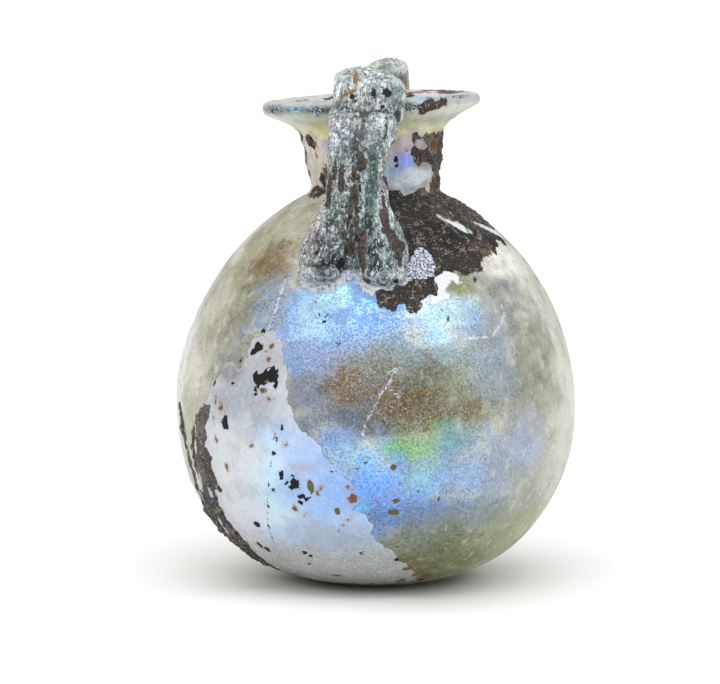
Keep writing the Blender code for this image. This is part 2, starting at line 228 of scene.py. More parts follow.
# Soft patches of colour in the chalky layer
CHALK_TINTS = [
    (-25, 40, 6, 6, "#aeafb6", 0.9), (-38, 33.5, 6, 5, "#a3a5aa", 0.9),
    (-39.5, 36.8, 3.0, 1.8, "#87878a", 1.0), (-30, 31, 6, 4, "#a1a8b3", 0.9),
    (-18, 27, 5, 4, "#92a8d6", 0.9), (-12, 23, 7, 6, "#b2ccf6", 0.9), (-24, 19, 4.6, 8, "#c2e0f2", 0.9),
    (-38, 20, 6, 9, "#d2d6da", 0.9), (-10, 17, 6, 7, "#98bce8", 0.9), (-2, 20, 4, 6, "#8ab2e8", 1.0),
    (-5, 24, 2, 1.2, "#96acd6", 0.6), (-13, 23.2, 1.6, 0.7, "#a3a2b6", 0.6),
    (-4, 13, 6, 4, "#9ec0ee", 0.9), (-14, 11, 8, 3, "#a8bad0", 0.9), (0, 11, 6, 2, "#9eb0c8", 0.9),
    (-10, 6.5, 26, 3.2, "#a6a9a6", 1.0), (-10, 3, 26, 2.0, "#9a9b94", 1.0),
    (-86, 32, 18, 24, "#e4e2da", 1.0), (-92, 41, 5, 5, "#cdcdc4", 0.8), (-80, 26, 6, 6, "#d4d9e0", 0.8),
    (-88, 19, 6, 4, "#bcc0ba", 0.8), (150, 44, 8, 6, "#abadb6", 0.9), (160, 31, 7, 7, "#a4b6d4", 0.9),
    (152, 18, 8, 6, "#c6cbd0", 0.9), (140, 28, 5, 9, "#b4b3b0", 0.8), (158, 9, 12, 4, "#a6a9a4", 0.9),
]

# Outlines of the dark soil crust: the right shoulder, a tongue below it, a stripe on the left, the rear
CRUST = [
    [
        (22, 66.5), (60, 66.5), (104, 66.2), (108, 62), (102, 60.6), (96, 59.8), (90, 58.7),
        (86.4, 57.6), (85, 56.4), (80, 56.4), (77, 57.2), (74, 56.2), (68, 55.8), (60.5, 55.2),
        (55, 54.6), (51, 53.2), (46, 52.2), (40, 53.0), (34, 53.4), (30, 53.0), (24, 54.2), (17, 55.4),
        (15, 60),
    ],
    [
        (19.6, 52.2), (24, 52.9), (29, 53.2), (31.8, 52.8), (29.4, 51.2), (28, 49.9), (24, 49.7),
        (24, 48.5), (21, 47.4), (17, 48.4), (13, 47.7), (9.5, 48.3), (9, 49.7), (14, 51.3),
    ],
    [
        (-45, 31.8), (-48.2, 27.3), (-48.2, 24.9), (-46.6, 20.5), (-45.2, 17.7), (-49.5, 16.7),
        (-49.7, 14.5), (-48.5, 12.2), (-47.3, 10), (-47, 7.6), (-49, 4.6), (-52, 2.4), (-62, 3.2),
        (-66, 6.2), (-70, 10), (-69, 14), (-60, 14.6), (-58, 17.6), (-59, 20.6), (-59, 23.7), (-58, 26),
        (-54.5, 29.2), (-50, 31.6),
    ],
    [
        (-67.4, 30.4), (-63.4, 26), (-62.4, 20.7), (-60.8, 17.9), (-59.8, 14), (-62, 11), (-64.5, 13),
        (-66, 17), (-66.5, 22), (-68, 27), (-69.4, 30.4),
    ],
    [
        (38, 74.0), (39, 71.8), (43, 70.4), (49, 69.2), (54, 70.2), (60, 69.6), (66, 67.4), (80, 65.2),
        (112, 65.2), (114, 73), (100, 74.4), (84, 74.8), (66, 74.6), (50, 74.4),
    ],
    [(-150, 67), (-172, 66.6), (-190, 63), (-184, 57), (-172, 54), (-160, 57), (-148, 60)],
]
# Soft patches of colour in the crust, over its darkest colour
CRUST_TINTS = [
    (84, 62.4, 9, 3.6, "#494643", 0.9), (100, 60, 5, 4, "#5c5752", 0.9),
    (66, 62.5, 4, 1.6, "#3a3532", 0.8), (30, 63, 4, 3, "#3c3633", 0.7),
    (60, 56.4, 2.4, 0.9, "#54473f", 0.8), (44, 54, 3, 1.2, "#3a3532", 0.7),
    (62, 65.6, 3, 0.9, "#8a7262", 1.0), (96, 70, 5, 6, "#5c5752", 0.9),
    (66, 72.8, 1.6, 1.6, "#7a5743", 0.9), (56, 71.6, 2.6, 0.9, "#413935", 0.8),
    (60, 70, 3, 1.2, "#6b5a4d", 0.8), (50, 74, 5, 0.8, "#71665f", 0.8),
    (39.5, 79, 5, 2, "#47372e", 1.0), (-52, 22, 4.6, 9, "#55514d", 1.0),
    (-50, 28, 3, 3, "#6f6a62", 0.9), (-54, 20, 1.4, 2, "#7d7872", 0.8), (-55, 10, 8, 7, "#413d3a", 0.9),
    (-66, 22, 3.4, 12, "#4c4946", 0.9), (-78, 69.5, 3, 4, "#8f867f", 0.9),
    (80, 70, 8, 5, "#453e38", 0.9), (-50, 64.8, 4, 1, "#4e4037", 0.8), (20, 50.0, 4, 2, "#3a342f", 0.8),
    (130, 81.6, 4, 1.2, "#866a58", 0.9), (158, 82, 4, 1, "#9a7d6c", 0.9),
    (-170, 60, 10, 4, "#4c443e", 0.8), (-120, 71, 5, 4, "#6b6058", 0.8),
    (160, 70, 6, 4, "#5f564e", 0.8),
]
# Patches of crust on the neck and the rim, and holes in it: azimuth, height, half width, half height
CRUST_PATCHES = [
    (-54, 73, 1.7, 1.1, -30), (-50, 64.9, 4.2, 0.8), (-44, 66.2, 1.0, 1.6), (-78, 70, 1.0, 4),
    (-34, 65.4, 2.0, 0.9), (39.5, 79.0, 3.6, 1.1, 8), (130, 81.6, 3.0, 0.8), (158, 82, 3.4, 0.5),
    (146, 80.8, 2.2, 0.3), (-118, 82.8, 1.4, 0.35), (-120, 71, 4, 3), (-150, 83, 3, 0.7),
    (150, 79.4, 3, 0.7), (160, 70, 5, 3), (128, 52, 3, 2), (-100, 76.5, 2.4, 1.0), (172, 84, 3, 1.2),
]
CRUST_HOLES = [
    (17.6, 51.8, 1.3, 0.6, 20), (52.6, 60.3, 1.7, 0.62, -36), (57.4, 59.5, 1.5, 0.7, -30),
    (78, 59.1, 2.8, 0.42, -22), (84, 58.2, 2.4, 0.62, -20), (46, 66.9, 4.6, 1.3, 20),
    (30, 66.4, 3, 1.2), (60.5, 66.2, 0.6, 1.1), (52, 72.9, 1.5, 0.9), (-55.5, 24.5, 0.5, 2.4, -10),
    (-57, 19, 0.4, 1.8), (-52, 16.6, 0.5, 0.8, 20), (-57, 10.6, 0.4, 1.6, -20), (-64, 24, 0.35, 2.6),
    (-62.5, 16, 0.4, 1.2),
]
# Pale crystalline bloom, with a tilt: beside the crust, on the neck and the rim
BLOOM = [
    (52.6, 60.3, 1.5, 0.5, -36), (56.6, 59.7, 1.4, 0.6, -30), (78, 59.1, 2.6, 0.4, -22),
    (84, 58.2, 2.4, 0.6, -20), (34, 52.3, 1.9, 1.3, 0), (30.6, 50.6, 1.3, 1.7, 0),
    (28.4, 49.4, 1.5, 0.8, 10), (18.0, 51.7, 1.2, 0.6, 20), (37.6, 52.2, 1.2, 0.8, 0),
    (47, 70.2, 0.6, 0.4, 30), (160, 62, 4, 2, 0), (-140, 60, 3, 1.2, 0),
]
# Pale granular patches with dark pits, beside the crust
GRANULAR = [(27.0, 54.4, 1.9, 2.2, -10), (23.4, 53.4, 2.4, 1.1, 0), (152, 55, 2.4, 1.6, 10)]

# Small blots: azimuth, height, radius, stretch up and down
BLACK_BLOTS = [
    (-29, 44, 0.5, 0.7), (-29.4, 41.4, 1.0, 0.8), (-30.6, 40.8, 0.6, 1.0), (-27.8, 41.6, 0.6, 0.8),
    (-28.2, 37.0, 0.7, 1.0), (-26.8, 36.4, 1.0, 1.1), (-24.9, 37.2, 0.95, 1.0), (-23, 38.1, 0.8, 0.9),
    (-21.8, 37.6, 0.6, 1.3), (-21.4, 35.9, 0.55, 1.3), (-22.4, 36.6, 0.5, 1), (-27.4, 34.8, 0.45, 1.6),
    (-24.6, 35.9, 0.4, 1.2), (-39, 29, 0.85, 1.2), (-38.2, 28.4, 0.5, 1.2), (-36.4, 35.4, 0.32, 1.0),
    (-44.9, 35.0, 0.32, 2.0), (-34.2, 38.2, 0.3, 1.0), (-40.6, 35.6, 0.22, 1.0), (-35, 39.2, 0.22, 1),
    (-32.6, 39.6, 0.22, 1.2), (-43.4, 32.4, 0.3, 1.6), (-19.4, 21.6, 0.4, 1.6),
    (-18.2, 20.6, 0.35, 1.2), (-16.2, 21.4, 0.35, 1.2), (-15.6, 20.4, 0.85, 0.9),
    (-16.8, 19.6, 0.55, 0.9), (-13.8, 20.8, 0.3, 0.8), (-14.2, 18.4, 0.7, 0.6), (-12.4, 17.8, 0.5, 0.7),
    (-14.4, 17.2, 0.35, 1.2), (-11.4, 18.2, 0.25, 1), (-22.6, 19, 0.45, 0.8), (-26, 16.2, 0.3, 1.0),
    (-33.4, 12.7, 0.75, 0.7), (-38.5, 8.7, 0.6, 0.9), (-36.3, 8, 0.6, 0.8), (-18.5, 8.2, 0.6, 0.5),
    (-16.8, 7.8, 0.4, 0.7), (-19.6, 6.0, 0.4, 0.5), (-4.0, 22.7, 0.45, 0.8), (-21.7, 24.9, 0.5, 1.0),
    (-20.6, 27.6, 0.35, 1.6), (-18.8, 29.4, 0.32, 1.2), (-28.4, 12.5, 0.35, 1.0), (22, 2.8, 0.4, 0.7),
    (34, 2.2, 0.6, 0.6), (3, 8.6, 0.35, 0.8), (16, 7.2, 0.3, 1.0), (26.6, 70.6, 0.35, 1.2),
    (28.4, 69.6, 0.3, 1.0), (-10.4, 46.9, 0.25, 1), (-8.0, 46.9, 0.26, 0.9), (-8.3, 45.9, 0.22, 1),
    (-12.7, 49.0, 0.2, 1), (-8.6, 48.4, 0.2, 1), (-3.4, 42.6, 0.2, 1), (-62, 79.3, 0.4, 0.8),
    (-56, 79.0, 0.45, 0.7), (-51, 79.4, 0.5, 0.6), (-46, 79.0, 0.4, 0.7), (-41, 79.3, 0.35, 0.7),
    (-36, 79.2, 0.3, 0.8), (62, 80.3, 0.3, 0.6), (-86, 30, 0.5, 1.0), (-92, 36, 0.35, 1.2),
    (-80, 22, 0.4, 1.0), (-83, 37, 0.6, 0.8), (160, 28, 0.5, 1.3), (154, 22, 0.35, 1.0),
    (146, 38, 0.6, 0.8), (165, 44, 0.4, 1.0), (156, 34.4, 0.6, 0.8), (161, 31.4, 0.5, 0.7),
    (143, 17.8, 0.5, 1.0), (140, 20, 1.4, 0.8), (158, 33, 1.0, 1.2), (-130, 18, 1.1, 0.7),
    (172, 14, 0.8, 0.8), (150, 26, 0.5, 1.0), (-112, 33, 0.6, 0.9),
]
RUST_BLOTS = [
    (-29, 25.8, 0.35, 1.0), (-39.5, 22.0, 0.4, 1.6), (-24.4, 41.8, 0.4, 1.0), (-26.4, 40.8, 0.35, 0.8),
    (-24.5, 39.7, 0.28, 1.0), (-25.1, 34.8, 0.6, 0.8), (-23, 33.7, 0.35, 1.0), (-21.3, 33.4, 0.3, 1.0),
    (0.2, 20.0, 0.45, 1.1), (1.2, 18.3, 0.75, 0.9), (-16.7, 16.1, 0.4, 1.2), (-14, 15.2, 0.3, 0.8),
    (-9, 19, 0.3, 1.0), (-7.6, 19.8, 0.3, 1.0), (-20.6, 27.4, 0.3, 1.0), (-17.8, 26.8, 0.35, 1.0),
    (-10.6, 3.8, 0.8, 0.3), (21.5, 5.3, 1.0, 0.35), (34, 3.2, 1.2, 0.35), (0.8, 15.2, 0.16, 1.2),
    (-0.8, 14.4, 0.14, 1.0), (-2.2, 13.5, 0.18, 1.0), (-3.6, 12.6, 0.14, 1.0), (-37.5, 68.2, 1.0, 1.2),
    (-35, 67.2, 0.7, 1.0), (-48, 71, 0.4, 1.0), (-46, 73, 0.35, 2.0), (152, 25, 0.9, 1.0),
    (156, 27, 0.4, 1.0), (149, 36, 0.35, 1.0), (162, 40, 0.5, 0.8), (-90, 28, 0.4, 1.0),
    (-86, 36, 0.3, 1.4), (-41, 31.6, 0.3, 2.2), (66, 72.8, 0.7, 1.4), (60, 55.4, 0.7, 0.6),
    (-43.3, 26.0, 0.35, 1.8), (-44, 29.4, 0.3, 1.4), (36, 72.2, 0.25, 1),
]
OLIVE_CHIPS = [
    (-10.8, 20.0, 0.62, 1.7), (-3.5, 16.0, 0.42, 1.7), (5.2, 24, 0.4, 0.5), (13, 23.3, 0.55, 0.9),
    (14.8, 20.6, 0.25, 0.8), (20.5, 19.3, 0.3, 1.2), (26.8, 17.8, 0.25, 1.6), (13.9, 17.7, 0.7, 0.6),
    (13.2, 15.7, 0.95, 0.55), (15.4, 15.2, 0.4, 0.6), (15.4, 9.4, 0.35, 0.6), (2.7, 23.0, 0.35, 0.8),
    (29, 24, 0.25, 1.0), (-160, 20, 0.9, 1.0), (-152, 24, 0.5, 1.2), (148, 42, 0.6, 0.8),
    (31.6, 46.4, 0.3, 2.2), (30.0, 47.6, 0.25, 1.0),
]
# A dotted crack down the chalky layer, and pale scratches in the film, as runs of (azimuth, height)
DOTTED = [[(-21.7, 25), (-24.5, 19), (-28.5, 12), (-30, 9)]]
SCRATCHES = [
    [(4.4, 28.6), (5.5, 30.6), (6.6, 32.2), (8, 33.4), (9.1, 34.9), (11, 36.1), (12.2, 37.2), (13.6, 39)],
    [(11, 36.1), (14.6, 34.5)], [(53.8, 48.5), (54.4, 46.7), (51.5, 45.2), (46.2, 43.2)],
    [(44.3, 43.3), (40.5, 43.1), (34.9, 43.3), (31.1, 43.8)], [(10, 38.3), (14, 38.2)],
    [(75.1, 49.9), (75.8, 48.2), (75.9, 45.9)], [(76.2, 50.2), (77.2, 47.6), (77, 43.6), (76.6, 39.6)],
    [(79, 36), (78.6, 30), (77, 24)], [(-27, 52), (-26.5, 48), (-27.2, 45), (-29, 42)],
    [(-56, 40), (-55, 43), (-57, 46)], [(-66, 44), (-69, 36)],
]
# Hard glints of bare turquoise glass, as blots
TURQUOISE = [
    (58.7, 59.1, 0.55, 0.8), (73.5, 17.4, 0.4, 1.3), (81.1, 45.8, 0.25, 1.0), (-20, 49.6, 0.25, 1.4),
    (150, 36, 0.5, 1.0),
]

# Runs of weathered glass that stand proud on the neck, and the toes of the handles on the shoulder:
# x, y, z of a toe's middle, its half width and half height. The rises of the runs, of the collar round
# a toe and of the bloom, and the depth of a chip, are in millimetres too.
SLUMP_RISE = 0.6
SLUMP_WIDTH = 0.9
TOE_COLLAR_RISE = 0.6
BLOOM_RISE = 0.18
CHIP_DEPTH = 0.1
SLUMPS = [
    [(24, 65.6), (34, 65.9), (44, 66.4), (54, 67.4), (62, 68.6), (68, 69.4)], [(58, 67.6), (61, 65.6)],
]
TOES = [
    (-5.2, -24.7, 54.7, 3.9, 3.6), (4.5, -24.5, 54.1, 4.3, 3.8), (4.7, 24.6, 54.3, 4.0, 3.7),
    (-5.0, 24.7, 54.6, 3.9, 3.6),
]

# The trails: the power of their superellipse section, the rings of a round end and the fewest faces
# of a fused one, how their grain is drawn out along Z, the pits' depth and the iron crust's rise in
# millimetres. Below SHOULDER_TOP their skin stays outside this share of the body's own outline, so
# that it ends within the wall.
SECTION_POWER = 2.4
ROUND_RINGS = 8
FEWEST_FACES = 1000
DRAWN_OUT = (1.0, 1.0, 0.12)
PIT_DEPTH = 0.1
IRON_RISE = 0.12
SHOULDER_TOP = 64.0
HELD_SHARE = 0.986

# The two handles: how each is turned, its ribs (toe across, half width, reach, crest across), its fold
# (across, half width, top), the slant of its top, its tail (side, lowest height), its soft patches of
# colour, and where its layers lie (millimetres across and up, half width, half height and tilt), as
# seen from its own front
HANDLES = {
    "handle_front": {
        "turn": 0.0, "ribs": ((-5.2, 3.85, 0.7, -2.2), (4.5, 4.25, 1.3, 3.4)),
        "fold": (1.55, 5.8, 85.7), "slant": 0.14, "tail": (1, 73.5),
        "tints": [
            (0.0, 62.0, 12, 9.0, "#6f7b7d", 0.9), (-0.2, 84.2, 5.6, 3.0, "#a9b4b3", 0.9),
            (-4.2, 83.4, 1.6, 3.2, "#c4cdcf", 0.9), (0.2, 82.2, 2.0, 1.6, "#c3cac8", 0.9),
            (-2.6, 84.6, 1.6, 1.2, "#8f9c9c", 0.8), (2.6, 84.2, 1.8, 1.0, "#98a5a4", 0.8),
            (6.0, 82.4, 1.3, 3.4, "#8ca09f", 0.9), (6.4, 79.0, 0.8, 1.8, "#4d5651", 0.9),
            (0.4, 79.5, 4.0, 0.5, "#9a9ea0", 0.9), (-0.5, 78.0, 4.4, 1.2, "#939699", 0.9),
            (-3.2, 75.6, 1.5, 2.0, "#b6b9c6", 0.9), (0.8, 75.2, 2, 2.2, "#7d8384", 0.8),
            (4.2, 77.0, 1.6, 1.4, "#b6c4c8", 0.9), (-2.6, 70.6, 1.8, 3.6, "#84908f", 0.9),
            (-2.4, 67.0, 1.6, 1.2, "#6c6b68", 0.9), (2.9, 70.4, 1.1, 3.4, "#33544d", 1.0),
            (2.6, 65.5, 1.0, 3.0, "#38584f", 1.0), (2.5, 61.4, 0.85, 2.8, "#213a37", 1.0),
            # The thin white lines at 5.1 and 5.7 across are painted highlights along the strap's right edge
            (4.3, 66.0, 0.5, 4.6, "#8d8782", 0.9), (5.1, 70.0, 0.35, 5.4, "#dfe3e4", 1.0),
            (5.7, 63.6, 0.3, 1.6, "#d5dadb", 1.0), (0.2, 64.0, 1.1, 4.8, "#77757b", 0.9),
            (1.2, 63.4, 0.45, 4.0, "#b1b5c2", 0.9), (-2.6, 62.0, 1.7, 3.4, "#4e5b59", 0.9),
            (-5.0, 63.0, 0.7, 3.0, "#a9b2b2", 0.9), (-6.8, 60.0, 2.0, 2.8, "#b0a9a5", 0.9),
            (-4.6, 58.6, 1.8, 2.0, "#454f55", 0.9), (-3.4, 61.0, 1.1, 1.4, "#3c4a45", 0.9),
            (-4.2, 54.6, 2.6, 2.2, "#0f1810", 1.0), (-8.0, 55.0, 1.4, 2.0, "#93938f", 0.9),
            (-6.4, 56.6, 1.0, 1.4, "#828486", 0.8), (4.4, 60.4, 0.7, 3.2, "#a3b6ba", 1.0),
            (3.7, 56.2, 2.4, 3.0, "#0f2525", 1.0), (5.4, 56.4, 0.7, 1.6, "#708a8d", 0.8),
            (6.8, 53.4, 1.5, 1.2, "#7d8d90", 0.9), (3.6, 51.9, 2.8, 0.6, "#65787b", 0.9),
            (1.0, 57.4, 0.5, 3.4, "#6c7676", 0.8), (-0.4, 54.6, 0.8, 1.4, "#6a6c6e", 0.8),
        ],
        "iron": [
            (0.9, 71.0, 0.8, 1.5), (-4.1, 66.6, 0.5, 2.2), (-2.2, 68.2, 0.35, 1.8),
            (-3.3, 69.6, 0.25, 1.2), (-0.6, 63.4, 0.3, 1.4), (0.0, 66.2, 0.35, 1.6),
            (0.4, 61.6, 0.3, 1.6), (-0.7, 57.6, 0.8, 1.2), (1.6, 58.2, 0.65, 1.9),
            (1.3, 55.0, 0.6, 2.0), (5.0, 62.2, 0.55, 1.4, 15), (6.3, 59.4, 0.75, 2.1, 32),
            (7.5, 56.6, 0.7, 2.0, 12), (4.75, 73.2, 0.22, 3.2), (4.7, 66.6, 0.3, 2.0),
            (2.2, 52.3, 0.6, 0.45), (6.3, 78.2, 0.4, 0.9), (-0.2, 69.0, 0.3, 1.0),
            (8.8, 57.4, 1.1, 2.8), (0.2, 64.6, 0.25, 0.9), (-0.4, 60.6, 0.3, 0.9),
            (0.5, 60.0, 0.25, 0.8), (-1.4, 59.4, 0.3, 0.7),
        ],
        "dark": [
            (2.5, 81.9, 0.42, 0.7), (4.65, 82.0, 0.62, 0.8), (3.1, 84.2, 0.28, 0.2),
            (-1.0, 81.3, 0.35, 0.3), (3.9, 79.7, 0.35, 0.3), (-2.1, 55, 0.5, 0.9),
            (6.9, 52.4, 0.4, 0.4), (-1.0, 61.8, 0.2, 0.9), (0.3, 68.2, 0.25, 0.4),
            (1.2, 80.2, 0.25, 0.2), (0.0, 65.6, 0.2, 0.5), (0.6, 63.2, 0.2, 0.5),
            (-0.4, 62.6, 0.2, 0.5), (0.7, 66.8, 0.16, 0.5), (-1.2, 57.0, 0.3, 0.5),
            (0.4, 58.8, 0.2, 0.6), (-0.4, 80.6, 0.3, 0.2), (-5.6, 56.8, 0.3, 0.4),
            (0.2, 52.6, 0.4, 0.5),
        ],
        "rust": [
            (-0.5, 84.1, 0.5, 0.9), (-1.5, 81.8, 1.2, 0.3, 25), (-2.2, 80.4, 0.7, 0.2),
            (1.6, 78.0, 0.2, 0.2),
        ],
        "clean": [
            (2.9, 70.0, 0.9, 4.4), (2.5, 62, 0.8, 4.6), (-4.6, 54.4, 1.7, 1.3), (6.2, 82.0, 1.0, 3.2),
        ],
    },
    "handle_rear": {
        "turn": math.pi, "ribs": ((-4.7, 4.0, 1.1, -2.1), (5.0, 3.9, 0.8, 2.3)),
        "fold": (1.25, 4.25, 85.9), "slant": 0.2, "tail": (1, 74.0),
        "tints": [
            (1.2, 84.0, 5.2, 3.4, "#98a296", 1.0), (2.6, 84.4, 1.0, 2.2, "#c0c8be", 0.8),
            (-2.4, 82.8, 0.9, 1.8, "#7b867b", 0.8), (-2.9, 66, 0.9, 6, "#46675f", 0.9),
            (4.4, 54.2, 2.4, 1.8, "#27423f", 1.0), (1.2, 74, 0.9, 3, "#4d6f68", 0.8),
            (-4.6, 54.4, 2, 1.8, "#2f3d33", 0.9), (3.0, 70, 1.0, 4, "#aeb6b6", 0.8),
            (-2.0, 76, 1.6, 2, "#b0acb8", 0.8), (5.6, 59, 1.4, 2.6, "#b3a8a2", 0.9),
            (0.2, 63, 1.0, 4, "#8f868e", 0.8),
        ],
        "iron": [
            (-1.2, 69, 0.8, 3), (3.4, 63, 1.0, 2.4), (-5.6, 57, 1.0, 2.4), (0.3, 57, 0.7, 3),
            (-0.5, 78.6, 2.4, 0.5),
        ],
        "dark": [(0.6, 79.8, 0.5, 0.5), (2.6, 55, 0.7, 0.7), (-1.0, 60, 0.4, 0.6)],
        "rust": [(-2.7, 82.0, 0.3, 0.9), (-0.4, 65, 0.5, 0.8)],
        "clean": [(1.2, 84.0, 5.4, 3.6), (-2.9, 66, 0.8, 5)],
    },
}

# The wide overhead light comes from this direction. The soft lights beside it are name, place, size
# in metres and share of the side lights' power, and all of them aim at a point on the flask's axis.
CANOPY_FROM = (-0.02, -0.3, 1.0)
CANOPY_ANGLE = math.radians(110.0)
LIGHTS = [("front", (0.1, -0.76, 1.05), (0.9, 0.3), 1.0), ("right", (1.0, -0.3, 0.5), (0.7, 0.7), 0.5)]
LIT_HEIGHT = 0.04
FLOOR_REACH = 40.0

# The camera stands this far round from the front, at this distance and height in metres. It looks at
# a point on the flask's axis, moved a little to the side and down, through a long lens in millimetres.
CAMERA_TURN = math.radians(8.0)
CAMERA_DISTANCE = 0.6
CAMERA_HEIGHT = 0.1072
AIM_HEIGHT = 0.042
AIM_ASIDE = 0.00268
AIM_DOWN = 0.00241
LENS = 181.6
SENSOR = 36.0


def linear(hex_colour):
    """An sRGB hex colour as linear red, green and blue."""
    parts = [int(hex_colour[i : i + 2], 16) / 255 for i in (1, 3, 5)]
    return [p / 12.92 if p <= 0.04045 else ((p + 0.055) / 1.055) ** 2.4 for p in parts]


def eased(values, start, end):
    """0 before start, 1 after end, and a smooth step between them."""
    share = np.clip((np.asarray(values, float) - start) / (end - start), 0.0, 1.0)
    return share * share * (3.0 - 2.0 * share)


def grain(points, size, seed, waves=26):
    """A smooth random field of spread 1: a sum of sine waves about size millimetres long."""
    rng = np.random.default_rng(seed)
    directions = rng.normal(size=(3, waves))
    directions /= np.linalg.norm(directions, axis=0)
    turns = directions * 2 * math.pi / (size * rng.uniform(0.65, 1.5, waves))
    phases = rng.uniform(0, 2 * math.pi, waves)
    return np.sin(points @ turns + phases).sum(1) * math.sqrt(2 / waves)


def rough_grain(points, size, seed, octaves=3):
    """Grain at a size and at finer ones, each half as long and 0.6 times as strong."""
    total = sum(0.6**k * grain(points, size / 2**k, seed + k) for k in range(octaves))
    return total / math.sqrt(sum(0.36**k for k in range(octaves)))


def bezier(p0, p1, p2, p3, count):
    """Points of a cubic Bezier curve, its ends included."""
    t = np.linspace(0.0, 1.0, count)[:, None]
    s = 1.0 - t
    p0, p1, p2, p3 = (np.array(p, float) for p in (p0, p1, p2, p3))
    return s**3 * p0 + 3 * s * s * t * p1 + 3 * s * t * t * p2 + t**3 * p3


def smooth_line(stations, count):
    """A Catmull-Rom curve through rows of values, read at evenly spaced parameters."""
    rows = np.array(stations, float)
    padded = np.vstack([2 * rows[0] - rows[1], rows, 2 * rows[-1] - rows[-2]])
    place = np.linspace(0.0, len(rows) - 1.0, count)
    index = np.minimum(place.astype(int), len(rows) - 2)
    t = (place - index)[:, None]
    a, b, c, d = (padded[index + k] for k in range(4))
    return 0.5 * (2 * b + (c - a) * t + (2 * a - 5 * b + 4 * c - d) * t**2 + (3 * b - a - 3 * c + d) * t**3)


def respaced(line, spacing):
    """The polyline read again at even steps of about spacing along its length."""
    steps = np.linalg.norm(np.diff(line, axis=0), axis=1)
    along = np.concatenate([[0.0], np.cumsum(steps)])
    places = np.linspace(0.0, along[-1], max(2, round(along[-1] / spacing) + 1))
    return np.column_stack([np.interp(places, along, line[:, k]) for k in range(line.shape[1])])


def body_radius(height):
    """The radius of the body's superellipse at a height in millimetres."""
    above = np.clip((np.asarray(height, float) - WIDEST_HEIGHT) / SHOULDER_RISE, 0.0, 1.0)
    below = np.clip((WIDEST_HEIGHT - np.asarray(height, float)) / BELLY_DROP, 0.0, 1.0)
    upper = np.clip(1 - above**SHOULDER_POWER, 0.0, 1.0) ** (1 / SHOULDER_POWER)
    lower = np.clip(1 - below**BELLY_POWER, 0.0, 1.0) ** (1 / BELLY_POWER)
    return np.maximum(BODY_RADIUS * np.where(above > 0, upper, lower), NECK_FOOT_RADIUS)


def hand_worked(points):
    """The lean of the neck and the slope of the rim, for points in millimetres."""
    x, y, z = points.T
    lean = NECK_LEAN * eased(z, 60.0, RIM_HEIGHT)
    slope = RIM_SLOPE * eased(z, NECK_TOP_HEIGHT - 1.0, RIM_HEIGHT - 2 * LIP_RADIUS)
    return np.column_stack([x - lean, y, z + slope * x])


def ring_quads(rings, sides):
    """Quads between closed rings of points that follow one another, facing outwards."""
    low = np.arange(rings - 1)[:, None] * sides
    here = np.arange(sides)[None, :]
    after = (here + 1) % sides
    quads = np.stack([low + here, low + after, low + sides + after, low + sides + here], axis=2)
    return quads.reshape(-1, 4)


def mesh_object(name, points, quads, triangles):
    """A smooth object from points in millimetres and its faces, placed at the origin."""
    mesh = bpy.data.meshes.new(name)
    corners = np.concatenate([quads.ravel(), triangles.ravel()]).astype(np.int32)
    totals = np.concatenate([np.full(len(quads), 4), np.full(len(triangles), 3)])
    mesh.vertices.add(len(points))
    mesh.vertices.foreach_set("co", (points * MM).astype(np.float32).ravel())
    mesh.loops.add(len(corners))
    mesh.loops.foreach_set("vertex_index", corners)
    mesh.polygons.add(len(totals))
    mesh.polygons.foreach_set("loop_start", np.concatenate([[0], np.cumsum(totals)[:-1]]).astype(np.int32))
    mesh.update(calc_edges=True)
    mesh.shade_smooth()
    obj = bpy.data.objects.new(name, mesh)
    bpy.context.scene.collection.objects.link(obj)
    return obj


def store(obj, name, values):
    """Keeps a number or a colour for each vertex in an attribute of the mesh."""
    is_colour = values.ndim == 2
    kind = "FLOAT_COLOR" if is_colour else "FLOAT"
    attribute = obj.data.attributes.new(name, kind, "POINT")
    data = np.column_stack([values, np.ones(len(values))]) if is_colour else values
    attribute.data.foreach_set("color" if is_colour else "value", data.astype(np.float32).ravel())


